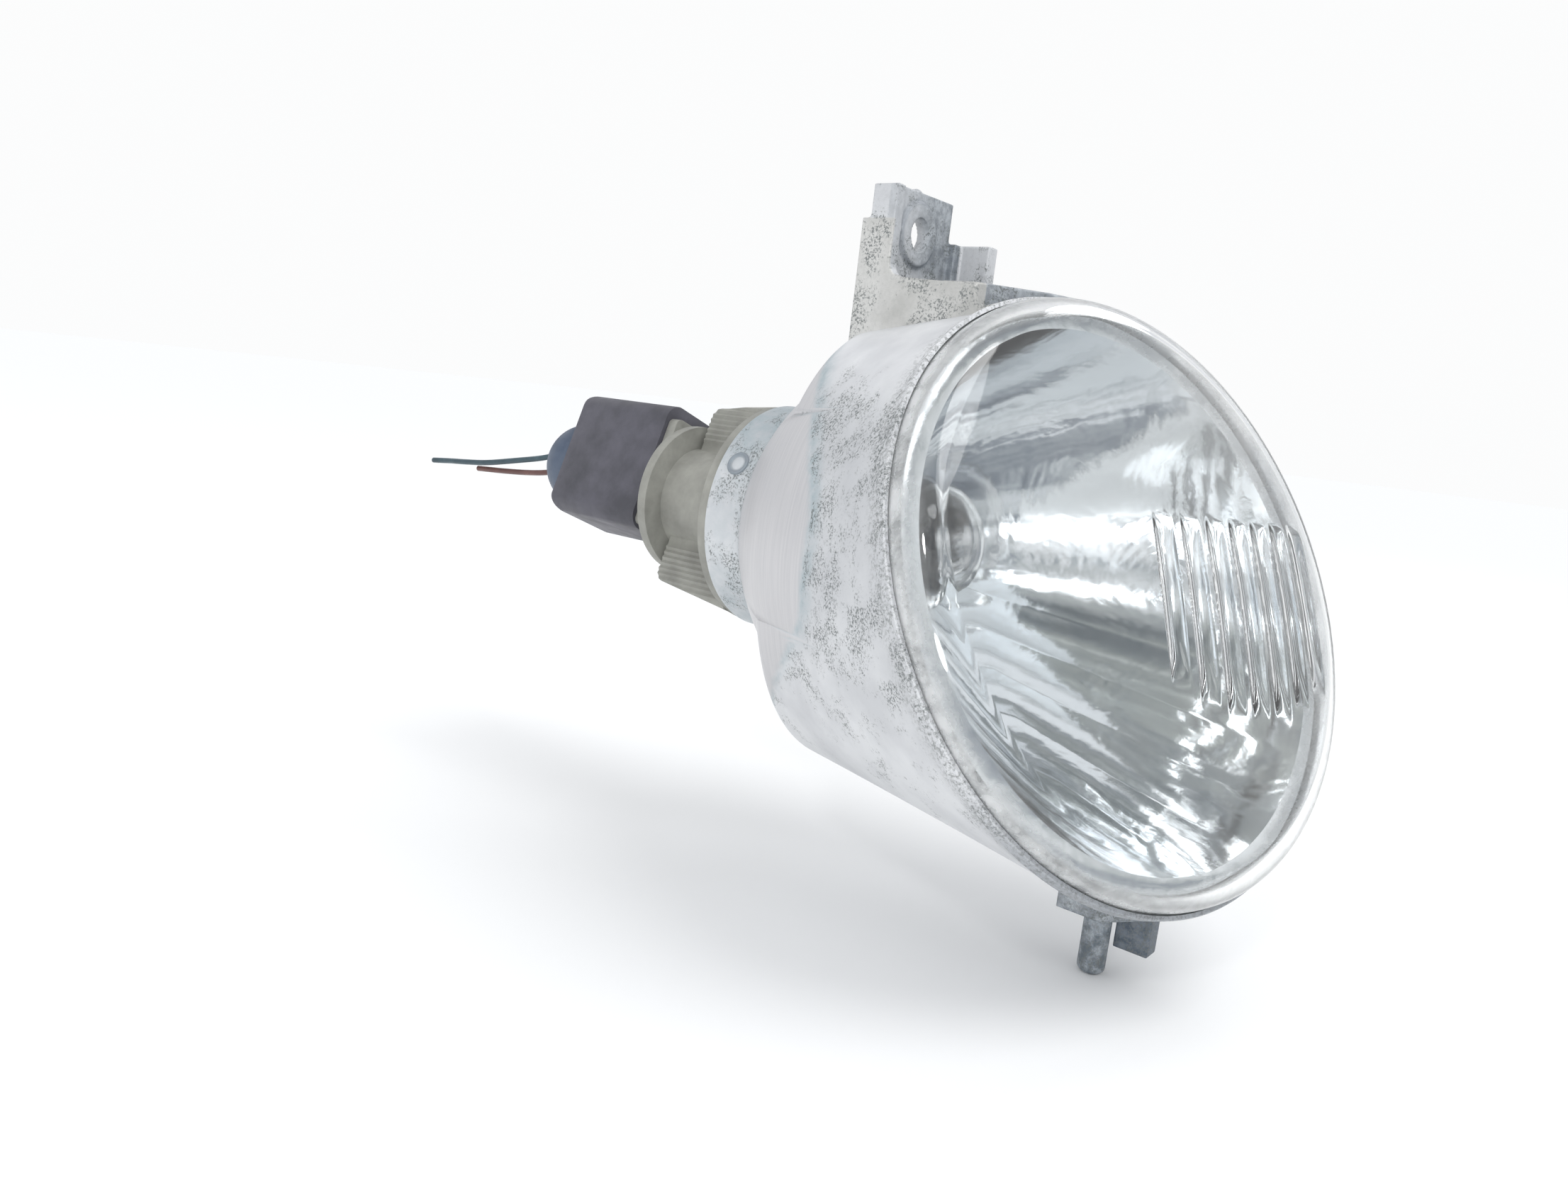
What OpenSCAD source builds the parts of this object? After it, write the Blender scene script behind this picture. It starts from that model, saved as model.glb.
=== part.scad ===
// Round car turn signal lamp with a twist-in bulb holder and a plugged connector.
// Built about the bulb axis: -Y forward to the lens, +Y to the wires, Z up, -X outboard.
// The whole is then moved so that the centre of the fixing hole is the origin. Sizes in mm.

/* [Neck and dome] */
// outer radius of the neck
neck_r = 23; // [21:0.5:25]
// length of the neck in front of its rear edge
neck_len = 9; // [7.5:0.25:9.5]
// bore of the neck's inner flange
neck_bore_r = 17; // [16:0.25:17.5]
// thickness of the neck's inner flange
neck_flange_t = 3; // [2.4:0.2:3.6]
// radius of the arc that the dome is turned to
dome_arc_r = 45; // [40:1:60]
// outer radius of the dome where it ends in the skirt
dome_r = 39.5; // [38:0.5:41]
// distance from the neck's rear edge to the end of the dome
dome_depth = 40; // [38:0.5:42]
// wall of the neck, dome and skirt
shell_t = 2.6; // [1.8:0.2:3]
// radius of the plain raised mark on the neck
mark_r = 2.4; // [1.5:0.1:3]
// height of the plain raised mark
mark_h = 0.4; // [0.2:0.1:0.8]

/* [Skirt] */
// rear face of the skirt, from the neck's rear edge
skirt_back = 18.6; // [17:0.2:20]
// half width of the skirt's rear end
skirt_half_w = 30.4; // [29:0.2:31]
// height of the skirt's rear end above the bulb axis
skirt_top = 39.6; // [38:0.2:40]
// depth of the skirt's rear end below the bulb axis
skirt_bottom = 44.6; // [43:0.2:46]
// reach of the rounding round the skirt's rear end
skirt_round = 5; // [3:0.5:8]
// facets round the skirt
skirt_steps = 60; // [40:4:96]
// bands along the turned dome
dome_steps = 9; // [8:1:24]

/* [Lens seat] */
// distance of the lens seat's centre in front of the neck's rear edge
lens_ahead = 77.4; // [74:0.2:80]
// drop of the lens seat's centre below the bulb axis
lens_drop = 1.1; // [0:0.1:3]
// sweep of the lens towards the outboard side, degrees
lens_sweep = 16; // [12:0.5:18]
// upward tilt of the lens, degrees
lens_tilt = 25.5; // [22:0.5:28]
// outer radius of the lens
lens_r = 52.8; // [51:0.1:55]
// wall of the rim round the lens
rim_wall = 0.8; // [0.7:0.1:1.6]
// gap between the lens and the rim
rim_gap = 0.3; // [0.2:0.05:0.8]
// depth of the rim behind the seam
rim_depth = 4; // [3.6:0.2:5]
// wall of the ledge that the reflector rests on
ledge_t = 1; // [0.8:0.1:1.4]
// floor of the rim channel
channel_floor = 2; // [1.6:0.1:2.4]

/* [Lens] */
// wall of the lens
lens_wall = 2.3; // [1.8:0.1:2.8]
// height of the lens's straight side above the seam
lens_side = 0.5; // [0.5:0.5:4]
// radius of the lens's rounded shoulder
lens_shoulder = 6.5; // [5:0.5:9]
// rise of the domed front above the shoulder
lens_rise = 4; // [3:0.5:7]
// room under the lens foot in the rim channel
foot_gap = 0.3; // [0.2:0.05:0.5]
// radius of the upright flutes inside the front
flute_r = 2.2; // [1.4:0.1:2.3]
// spacing of the flutes
flute_pitch = 7.15; // [6:0.05:7.3]
// sideways place of the first flute on the lens
flute_first = -0.6; // [-3:0.1:1]
// number of flutes
flute_count = 7; // [3:1:9]
// height of the flutes' upper ends above the lens centre
flute_top = 11; // [4:0.5:12]
// depth of the flutes' lower ends below the lens centre
flute_low = 25.5; // [18:0.5:27]

/* [Reflector] */
// wall of the reflector
refl_t = 1.4; // [1:0.1:2]
// place of the reflector's rear hole, from the neck's rear edge
refl_back = 16; // [14.5:0.5:18]
// room round the bulb in the reflector's rear hole
refl_gap = 1.8; // [1.2:0.1:2.2]
// width of the reflector's flat rim
refl_rim = 3; // [2:0.1:4]
// how the bowl's depth grows, 1 for a cone
refl_curve = 1.25; // [1.05:0.05:1.35]

/* [Top bracket] */
// radius of the fixing hole
hole_r = 3; // [2.5:0.25:3.5]
// sideways place of the fixing hole
hole_x = -1; // [-2:0.25:1]
// height of the fixing hole above the bulb axis
hole_z = 57.3; // [56:0.1:58]
// radius of the round boss
boss_r = 5.8; // [5:0.1:6.4]
// height of the boss in front of the plate
boss_h = 0.7; // [0.4:0.1:1.2]
// thickness of the plate
plate_t = 2; // [1.6:0.1:3]
// front face of the plate, from the neck's rear edge
plate_front = 26; // [25:0.25:27]
// top of the bracket above the bulb axis
plate_top = 65; // [64:0.25:68]
// outboard face of the bracket
bracket_out = 10; // [9:0.25:11]
// inboard edge of the plate
plate_in = 10.5; // [9.5:0.25:11]
// thickness of the outboard cheek
cheek_t = 2.5; // [2:0.1:3]
// rear edge of the cheek, from the neck's rear edge
cheek_back = 19.5; // [18:0.25:20.5]
// bottom of the cheek and its leg
leg_bottom = 39.6; // [38.5:0.2:40.4]
// top of the leg
leg_top = 48.5; // [47:0.25:50]
// front end of the leg
leg_front = 46.4; // [44:0.2:48]
// inboard face of the inboard cheek
inner_face = 15; // [14:0.25:16]
// top of the inboard cheek
inner_top = 57.5; // [56.5:0.25:58.5]
// front of the inboard cheek
inner_front = 34.5; // [32:0.25:36]

/* [Lower bracket] */
// centre of the block and the peg, from the neck's rear edge
block_mid = 81.4; // [80:0.2:83]
// half depth of the block
block_half = 4.2; // [3.6:0.1:5]
// outboard face of the block
block_out = 10; // [9:0.25:11]
// inboard face of the block
block_in = 9; // [8:0.25:10]
// underside of the block below the bulb axis
block_low = 55.2; // [54:0.2:57]
// radius of the locating peg
peg_r = 2.45; // [2:0.05:3]
// sideways place of the peg
peg_x = -0.5; // [-2:0.25:0]
// length of the peg below the block
peg_len = 13.3; // [10:0.1:16]
// chamfer at the end of the peg
peg_chamfer = 0.8; // [0.4:0.1:1.2]
// width of the square lug
lug_w = 4.1; // [3.5:0.1:4.5]
// depth of the square lug
lug_d = 6.3; // [5.5:0.1:7]
// length of the square lug below the block
lug_len = 8.5; // [6:0.1:11]
// sideways place of the square lug's centre
lug_x = 4; // [3.8:0.1:4.6]
// front of the block's inboard half, ahead of its outboard corner
block_lead = 6; // [4:0.1:7]

/* [Bulb holder] */
// turn of the holder about the bulb axis, degrees
holder_turn = 20; // [0:1:40]
// radius of the flange
flange_r = 22.5; // [21:0.25:23]
// thickness of the flange
flange_t = 2; // [1.6:0.1:3]
// gap between the flange and the neck
flange_gap = 0.2; // [0.1:0.05:0.4]
// radius of the holder's body
body_r = 11.5; // [11.2:0.1:12.5]
// rear end of the body
body_back = 23.3; // [22.6:0.1:25]
// radius of the collar
collar_r = 16.2; // [15:0.1:17]
// thickness of the collar
collar_t = 2.2; // [1.6:0.1:3]
// reach of the barrel in front of the neck's rear edge
barrel_in = 8; // [6.5:0.5:9]
// gap between the barrel and the neck's bore
barrel_gap = 0.3; // [0.2:0.05:0.5]
// gap between the lugs and the neck's chamber
lug_gap = 0.9; // [0.5:0.1:1.2]
// width of each bayonet lug
blug_w = 6.5; // [5:0.25:8]
// thickness of each bayonet lug
blug_t = 2; // [1.4:0.1:2.4]
// turn that frees the holder from the neck, degrees
twist = 40; // [34:1:50]
// outer radius of the grip tabs at the flange
tab_r = 22.4; // [20.5:0.1:22.9]
// fall of the tabs' outer edge towards the rear
tab_fall = 2.4; // [1:0.1:4]
// width of each grip tab
tab_w = 12; // [10:0.25:14]
// pitch of the grip ribs
rib_pitch = 1.2; // [1:0.1:1.6]
// height of the grip ribs
rib_h = 0.35; // [0.2:0.05:0.5]
// thickness of the holder seal
seal_t = 1; // [0.6:0.1:1.4]
// radial width of the holder seal
seal_w = 3.5; // [2.5:0.1:4]

/* [Tower and connector] */
// height of the connector's centre above the bulb axis
conn_z = 3; // [2:0.25:4]
// half width of the tower
tower_hx = 7.2; // [6.6:0.1:7.8]
// half height of the tower
tower_hz = 11.2; // [10:0.1:12]
// wall of the tower
tower_t = 1.6; // [1.2:0.1:2]
// rear end of the tower
tower_back = 47; // [45:0.5:49]
// half width of the base plate
base_hx = 9.2; // [8.6:0.1:10]
// half height of the base plate
base_hz = 12.4; // [11.8:0.1:13]
// thickness of the base plate
base_t = 2.4; // [1.6:0.1:3]
// depth of the slanted block between collar and base plate
slant_t = 2.6; // [2:0.1:3.5]
// half width of the connector shell
shell_hx = 10.3; // [9.6:0.1:11]
// half height of the connector shell
shell_hz = 14.4; // [13.6:0.1:15.2]
// height of the connector shell's centre above the tower's
shell_up = 1.1; // [0:0.1:1.6]
// radius of the shell's long edges
shell_edge = 3.6; // [2:0.1:4.2]
// radius of the shell's lower rear corner
shell_low_r = 3.5; // [2.5:0.25:7]
// radius of the shell's upper rear corner
shell_top_r = 2.4; // [1.5:0.1:4]
// rear end of the shell
shell_back = 57.7; // [56:0.1:60]
// gap between mating faces of shell and tower
plug_gap = 0.3; // [0.2:0.05:0.4]
// distance between the two terminals
way_pitch = 4.8; // [4.4:0.1:5.4]
// radius of the rubber seal
boot_r = 10.1; // [8.5:0.1:10.3]
// straight length of the rubber seal
boot_len = 3.8; // [2:0.1:5]
// rise of the rubber seal's domed end
boot_rise = 8.5; // [6:0.1:9.5]

/* [Terminals] */
// width of the blade terminals
blade_w = 2.8; // [2.2:0.1:3.2]
// thickness of the terminal metal
blade_t = 0.8; // [0.5:0.05:1]
// blade length inside the tower
blade_len = 13; // [10:0.5:14]
// outer radius of the brass sleeve
sleeve_r = 8.4; // [8.2:0.05:8.8]
// wall of the brass sleeve
sleeve_t = 0.6; // [0.4:0.05:0.7]
// front end of the sleeve, from the neck's rear edge
sleeve_in = 14; // [12.5:0.25:14.5]
// gap between pieces that are fixed together
fixed_gap = 0.05; // [0.03:0.01:0.08]

/* [Bulb] */
// largest radius of the glass
glass_r = 13.2; // [12.4:0.1:13.4]
// distance from the pins to the glass's widest place
glass_ahead = 29.3; // [27:0.1:31]
// wall of the glass
glass_t = 0.8; // [0.5:0.05:1.2]
// radius of the glass's neck
glass_neck_r = 6.6; // [5.5:0.1:6.8]
// radius of the bulb cap
cap_r = 7.5; // [7.3:0.05:7.6]
// length of the bulb cap
cap_len = 15.5; // [15:0.25:17]
// place of the pins in front of the neck's rear edge
pin_at = 4; // [3.5:0.1:5]
// distance from the pins to the rear end of the cap
pin_back = 7; // [6:0.1:7.5]
// radius of the pins
pin_r = 1; // [0.8:0.05:1.2]
// reach of the pins from the bulb's axis
pin_reach = 8.9; // [8.75:0.05:9]
// play round the pins in their slots
pin_play = 0.2; // [0.1:0.05:0.4]
// travel of the bulb against its spring
press = 2.2; // [1.6:0.1:2.6]
// distance from the pins to the filament
filament_ahead = 31.8; // [30:0.1:33]
// length of the filament
filament_len = 6; // [4:0.5:8]

/* [Contact] */
// height of the solder tip
tip_h = 1.1; // [0.8:0.1:1.4]
// radius of the solder tip
tip_r = 2.2; // [1.8:0.1:2.6]
// height of the bulb's insulator
ins_h = 1.5; // [1.2:0.1:2]
// thickness of the plunger disc
disc_t = 1.6; // [1:0.1:2]
// gap between the plunger disc and the sleeve
disc_gap = 0.3; // [0.15:0.05:0.5]
// height of the contact button's head
head_h = 0.4; // [0.3:0.1:0.6]
// radius of the contact button's shank
shank_r = 1.2; // [0.9:0.1:1.6]
// length of the shank behind the disc
shank_len = 3.2; // [2:0.1:3.4]
// free height of the contact spring
spring_len = 6; // [5.8:0.1:7]
// mean radius of the contact spring
spring_r = 2.8; // [2.4:0.1:3.4]
// wire radius of the contact spring
spring_wire = 0.35; // [0.25:0.05:0.4]
// turns of the contact spring
spring_turns = 3.5; // [2.5:0.5:4]

/* [Wires] */
// outer radius of the wires
wire_r = 0.7; // [0.6:0.05:0.9]
// squeeze of the rubber seal on the wires
wire_grip = 0.05; // [0.03:0.01:0.1]

/* [Hidden] */
$fn = 96;
// derived from the lens seat
deg_s = lens_sweep;
deg_t = lens_tilt;
seat = [0, -lens_ahead, -lens_drop];
u_dir = [cos(deg_s), -sin(deg_s), 0];
n_dir = [-sin(deg_s) * cos(deg_t), -cos(deg_s) * cos(deg_t), sin(deg_t)];
w_dir = cross(n_dir, u_dir);
channel_in = lens_r - lens_wall - 0.2;
channel_out = lens_r + rim_gap;
rim_r = channel_out + rim_wall;
ledge_r = channel_in - ledge_t;
channel_low = channel_floor - rim_depth;
foot_in = -channel_low - foot_gap;
// derived for the dome: centre of its arc in radius and distance along the axis
arc_dr = dome_r - neck_r;
arc_dy = dome_depth - neck_len;
arc_half = sqrt(arc_dr * arc_dr + arc_dy * arc_dy) / 2;
arc_off = sqrt(dome_arc_r * dome_arc_r - arc_half * arc_half);
dome_cr = (neck_r + dome_r) / 2 - arc_off * arc_dy / (2 * arc_half);
dome_cy = -(neck_len + dome_depth) / 2 - arc_off * arc_dr / (2 * arc_half);
chamber_r = neck_r - shell_t;
// derived for the holder
barrel_r = neck_bore_r - barrel_gap;
blug_r = chamber_r - lug_gap;
blug_y = -(neck_flange_t + 0.2);
flange_back = flange_gap + flange_t;
collar_back = body_back + collar_t;
slant_back = collar_back + slant_t;
base_back = slant_back + base_t;
seal_r = flange_r - 1.2;
// derived for bulb and contact
cap_back = pin_back - pin_at;
cap_front = cap_back - cap_len;
ins_back = cap_back + ins_h;
tip_back = ins_back + tip_h;
head_back = tip_back + head_h;
disc_back = head_back + disc_t;
live_front = disc_back + spring_len;
live_back = live_front + blade_t;
cup_front = live_front - 1.2;
cup_back = live_back + 1.5;
earth_y = cup_back + 1.4;
bore_back = cup_back + fixed_gap;
live_r = 5;
cup_r = sleeve_r - 0.1;
way_lo = conn_z - way_pitch / 2;
way_hi = conn_z + way_pitch / 2;
blade_back = base_back + blade_len;
tower_floor = base_back - 1;
shell_front = base_back + 0.1;
cavity_back = tower_back + plug_gap;
core_hx = tower_hx - tower_t - plug_gap;
core_hz = tower_hz - tower_t - plug_gap;
core_front = tower_floor + plug_gap;
cell_x = blade_w / 2 + 0.9;
cell_z = blade_t / 2 + 1.2;
cell_front = core_front + 1;
cell_back = shell_back - 4;
rec_front = cell_front + 0.4;
rec_back = blade_back + 2;
crimp_back = cell_back - 0.3;
crimp_r = wire_r + 0.5;
boot_back = shell_back + boot_len + boot_rise;
glass_y = -(pin_at + glass_ahead);
fil_y = -(pin_at + filament_ahead);
cheek_step = cheek_back + 1.7;
plate_back = plate_front - plate_t;
boss_front = plate_front + boss_h;
hole_y = -(plate_back + boss_front) / 2;
// route points of the wires, in the connector's own frame
upper_path = [[0, 59, 5.4], [0, 70.4, 5.35], [-0.2, 77, 3.2], [-0.5, 86, 1.2], [-0.8, 96, -0.8],
    [-0.8, 104, -1.7], [-0.8, 111, -2.3], [-0.8, 118, -3]];
lower_path = [[0, 59, 0.6], [0, 70.4, 0.55], [0.2, 75.5, -0.4], [0.6, 82, -1.1], [0.9, 90, -1.7],
    [0.9, 96, -2.1], [0.9, 101, -2.4]];

// frames
module placed() {
    translate([-hole_x, -hole_y, -hole_z]) children();
}

module in_holder() {
    placed() rotate([0, holder_turn, 0]) children();
}

module on_lens() {
    translate(seat) rotate([90 - deg_t, 0, -deg_s]) children();
}

// turned about the bulb axis from a profile in radius and distance
module turned() {
    rotate([-90, 0, 0]) rotate_extrude() children();
}

module rod(y0, y1, r) {
    translate([0, y0, 0]) rotate([-90, 0, 0]) cylinder(h = y1 - y0, r = r);
}

module rod_at(x, z, y0, y1, r) {
    translate([x, 0, z]) rod(y0, y1, r);
}

module tube(y0, y1, r_out, r_in) {
    difference() {
        rod(y0, y1, r_out);
        rod(y0 - 1, y1 + 1, r_in);
    }
}

module block(x0, x1, y0, y1, z0, z1) {
    translate([x0, y0, z0]) cube([x1 - x0, y1 - y0, z1 - z0]);
}

// outline in the plane of width and height, run along Y
module along_y(y0, y1) {
    translate([0, y1, 0]) rotate([90, 0, 0]) linear_extrude(height = y1 - y0) children();
}

// outline in the plane of distance and height, run along X
module along_x(x0, x1) {
    translate([x0, 0, 0]) rotate([90, 0, 90]) linear_extrude(height = x1 - x0) children();
}

module round_box(hx, hz, r) {
    square([2 * (hx - r), 2 * hz], center = true);
    square([2 * hx, 2 * (hz - r)], center = true);
    for (i = [-1, 1])
        for (j = [-1, 1])
            translate([i * (hx - r), j * (hz - r)]) circle(r = r);
}

// faces of a stack of closed rings with equal numbers of points
function band_faces(rings, n) = [
    for (k = [0 : rings - 2])
        for (i = [0 : n - 1])
            for (t = [0, 1])
                let (a = k * n + i, b = k * n + (i + 1) % n)
                    t == 0 ? [a, b + n, b] : [a, a + n, b + n]
];

// faces of closed rings whose last ring meets the first
function ring_faces(rings, n) = [
    for (k = [0 : rings - 1])
        for (i = [0 : n - 1])
            for (t = [0, 1])
                let (
                    a = k * n + i,
                    b = k * n + (i + 1) % n,
                    c = ((k + 1) % rings) * n + (i + 1) % n,
                    d = ((k + 1) % rings) * n + i
                )
                t == 0 ? [a, c, b] : [a, d, c]
];

function cap_face(start, n, flip) = [for (i = [0 : n - 1]) start + (flip ? n - 1 - i : i)];

// skirt: a rear oval ruled to the round lens seat
function at_seat(x, y, h) = seat + x * u_dir + y * w_dir + h * n_dir;

skirt_mid = (skirt_top - skirt_bottom) / 2;
skirt_half_h = (skirt_top + skirt_bottom) / 2;

function skirt_rear(a, d) = [
    (skirt_half_w - d) * cos(a),
    -skirt_back - d,
    skirt_mid + (skirt_half_h - d) * sin(a)
];

function unit(v) = v / norm(v);

// one ruled line of the skirt, from the axis (t = -1) over the rear face and its
// rounding (t = 0 to 1) to the lens seat (t = 2); d moves it into the wall
function skirt_line(a, t, d, fr, fh) =
    let (
        e = skirt_rear(a, d),
        c = [0, e[1], 0],
        m = [0, e[1], skirt_mid],
        f = at_seat(fr * cos(a), fr * sin(a), fh),
        p = e + unit(m - e) * skirt_round,
        q = e + unit(f - e) * skirt_round
    )
    t < 0 ? c + (p - c) * (1 + t)
    : t < 1 ? (1 - t) * (1 - t) * p + 2 * t * (1 - t) * e + t * t * q
    : q + (f - q) * (t - 1);

function dome_rad(y, d) =
    dome_cr + sqrt(max(0, (dome_arc_r - d) * (dome_arc_r - d) - (y - dome_cy) * (y - dome_cy)));

function dome_y(r, d) =
    dome_cy + sqrt((dome_arc_r - d) * (dome_arc_r - d) - (r - dome_cr) * (r - dome_cr));

// where a ruled line comes out of the dome, by halving
function crossing(a, d, fr, fh, lo, hi, k) =
    let (
        mid = (lo + hi) / 2,
        c = skirt_line(a, mid, d, fr, fh),
        outside = norm([c[0], c[2]]) > dome_rad(c[1], d)
    )
    k == 0 ? mid
    : outside ? crossing(a, d, fr, fh, lo, mid, k - 1)
    : crossing(a, d, fr, fh, mid, hi, k - 1);

curl_steps = 6;

// one line of the shell, from the neck over the dome and the skirt to the lens seat
function shell_column(a, d, fr, fh, y0) =
    let (
        t = crossing(a, d, fr, fh, -1, 2, 30),
        c = skirt_line(a, t, d, fr, fh),
        g = atan2(c[2], c[0]),
        step = t < 1 ? (1 - t) / curl_steps : (2 - t) / (4 * curl_steps)
    )
    concat(
        [for (j = [0 : dome_steps])
            let (y = y0 + (c[1] - y0) * j / dome_steps, r = dome_rad(y, d))
            [r * cos(g), y, r * sin(g)]],
        [for (k = [1 : curl_steps]) skirt_line(a, t + k * step, d, fr, fh)],
        [skirt_line(a, 2, d, fr, fh)]
    );

module shell_wall() {
    n = skirt_steps;
    outer = [for (i = [0 : n - 1])
        shell_column(360 * i / n, 0, rim_r - 0.3, channel_low - 0.2, 0.8 - neck_len)];
    inner = [for (i = [0 : n - 1])
        shell_column(360 * i / n, shell_t, ledge_r + 0.3, -rim_depth + channel_floor / 2,
            dome_y(chamber_r + 0.5, shell_t))];
    m = len(outer[0]);
    pts = concat(
        [for (j = [0 : m - 1]) for (i = [0 : n - 1]) outer[i][j]],
        [for (j = [m - 1 : -1 : 0]) for (i = [0 : n - 1]) inner[i][j]]
    );
    polyhedron(points = pts, faces = ring_faces(2 * m, n), convexity = 8);
}

// the space under the brackets that must stay clear, its skin inside the wall
module skirt_core() {
    n = skirt_steps;
    d = shell_t - 0.8;
    pts = [for (k = [0 : curl_steps + 1]) for (i = [0 : n - 1])
        skirt_line(360 * i / n, k > curl_steps ? 2 : k / curl_steps, d, ledge_r + 0.8, 1)];
    faces = concat(
        band_faces(curl_steps + 2, n),
        [cap_face(0, n, false), cap_face((curl_steps + 1) * n, n, true)]
    );
    polyhedron(points = pts, faces = faces, convexity = 6);
}

module neck() {
    difference() {
        rod(-neck_len - 2.3, 0, neck_r);
        rod(-neck_len - 3, -neck_flange_t, chamber_r);
    }
}

module neck_opening() {
    rod(-neck_flange_t - 1, 1, neck_bore_r);
    for (k = [0 : 2])
        rotate([0, holder_turn + twist + 120 * k, 0])
            intersection() {
                rod(-neck_flange_t - 1, 1, blug_r + 0.4);
                block(-blug_w / 2 - 0.8, blug_w / 2 + 0.8, -neck_flange_t - 2, 2, 0, neck_r);
            }
}

module rim() {
    on_lens() rotate_extrude() polygon([
        [ledge_r, -rim_depth],
        [rim_r - 1.8, channel_low - 3],
        [rim_r, channel_low],
        [rim_r, 0],
        [channel_out, 0],
        [channel_out, channel_low],
        [channel_in, channel_low],
        [channel_in, -ledge_t],
        [ledge_r, -ledge_t]
    ]);
}

module cheek_outline() {
    difference() {
        polygon([
            [-cheek_back, leg_bottom],
            [-cheek_back, hole_z + 1.6],
            [-cheek_step, hole_z + 1.6],
            [-cheek_step, plate_top],
            [-boss_front, plate_top],
            [-boss_front, leg_top + 2.5],
            [-boss_front - 2.5, leg_top],
            [-leg_front + 1.4, leg_top - 0.9],
            [-leg_front, leg_top - 5.3],
            [-leg_front + 0.8, leg_bottom]
        ]);
        translate([-boss_front - 2.5, leg_top + 2.5]) circle(r = 2.5);
    }
}

module top_bracket() {
    out = -bracket_out;
    along_x(out, out + cheek_t) cheek_outline();
    // plate with its boss
    block(out + 1, plate_in, -plate_front, -plate_back, leg_bottom, plate_top);
    translate([hole_x, 0, hole_z]) {
        rod(-boss_front + 0.3, -plate_front + 0.5, boss_r);
        translate([0, -boss_front, 0]) rotate([-90, 0, 0]) cylinder(h = 0.3, r1 = boss_r - 0.3, r2 = boss_r);
    }
    // small casting nub on the top edge
    block(hole_x - 1.2, hole_x, -plate_front + 0.4, -plate_back - 0.4, plate_top - 0.5, plate_top + 0.5);
    // inboard cheek, joined to the plate by a thicker root
    block(inner_face - 3, inner_face, -inner_front, -cheek_back, leg_bottom - 4, inner_top);
    block(plate_in - 0.5, inner_face - 2, -plate_front - 2, -plate_back, leg_bottom - 4, inner_top);
    // web that carries both cheeks on the skirt, set back under them
    block(out + 1.5, inner_face - 1, -leg_front + 4, -cheek_back - 1.2, skirt_top - 6, leg_bottom + 2);
}

// slope from the leg to the rim over the top of the lens seat
module top_web() {
    intersection() {
        along_x(-bracket_out + 1, inner_face - 1) polygon([
            [-leg_front + 6, leg_bottom - 3],
            [-leg_front + 6, leg_top - 3],
            [-leg_front, leg_top - 4.4],
            [-lens_ahead + 12, rim_r - 5.2],
            [-lens_ahead + 12, leg_bottom - 3]
        ]);
        on_lens() difference() {
            translate([0, 0, -60]) cylinder(h = 60 - 0.5, r = rim_r + 1.5);
            translate([0, 0, channel_low - 1.4]) cylinder(h = rim_depth, r = rim_r - 0.5);
        }
    }
}

module lower_bracket() {
    y0 = -block_mid - block_half;
    y1 = -block_mid + block_half;
    translate([0, 0, -block_low]) linear_extrude(height = block_low - skirt_bottom) polygon([
        [-block_out, y1],
        [-block_out, y0],
        [peg_x - 0.5, y0 - block_lead],
        [block_in, y0 - block_lead],
        [block_in, y1]
    ]);
    translate([peg_x, -block_mid, -block_low - peg_len]) {
        translate([0, 0, peg_chamfer]) cylinder(h = peg_len - peg_chamfer + 1, r = peg_r);
        cylinder(h = peg_chamfer, r1 = peg_r - peg_chamfer, r2 = peg_r);
    }
    block(lug_x - lug_w / 2, lug_x + lug_w / 2, y0 - lug_d + 1.9, y0 + 1.9,
        -block_low - lug_len, -skirt_bottom - 1);
}

module housing() {
    color("silver") placed() difference() {
        union() {
            neck();
            shell_wall();
            rim();
            difference() {
                union() {
                    top_bracket();
                    top_web();
                    lower_bracket();
                }
                skirt_core();
            }
            rotate([0, -61, 0]) translate([0, 2 - neck_len + mark_r, chamber_r + 1])
                cylinder(h = neck_r + mark_h - chamber_r - 1, r = mark_r);
        }
        neck_opening();
        rod_at(hole_x, hole_z, -boss_front - 1, -plate_back + 1, hole_r);
    }
}

// lens
lens_a = lens_r - lens_shoulder;
lens_top = lens_side + lens_shoulder + lens_rise;
lens_q = lens_side - lens_top;
lens_R = (lens_a * lens_a + lens_q * lens_q - lens_shoulder * lens_shoulder)
    / (2 * (lens_top - lens_side - lens_shoulder));
lens_c = lens_top - lens_R;
lens_tan = lens_a * lens_R / norm([lens_a, lens_side - lens_c]);

module lens_outline(d, low) {
    translate([0, low]) square([lens_r - d, lens_side - low]);
    translate([0, low]) square([lens_a, lens_side - low + lens_shoulder - d - 1]);
    intersection() {
        translate([lens_a, lens_side]) circle(r = lens_shoulder - d);
        translate([0, low]) square([lens_r, 80]);
    }
    intersection() {
        translate([0, lens_c]) circle(r = lens_R - d);
        translate([0, low]) square([lens_tan, 80]);
    }
}

function lens_inner_h(r) = lens_c + sqrt((lens_R - lens_wall) * (lens_R - lens_wall) - r * r);

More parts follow.
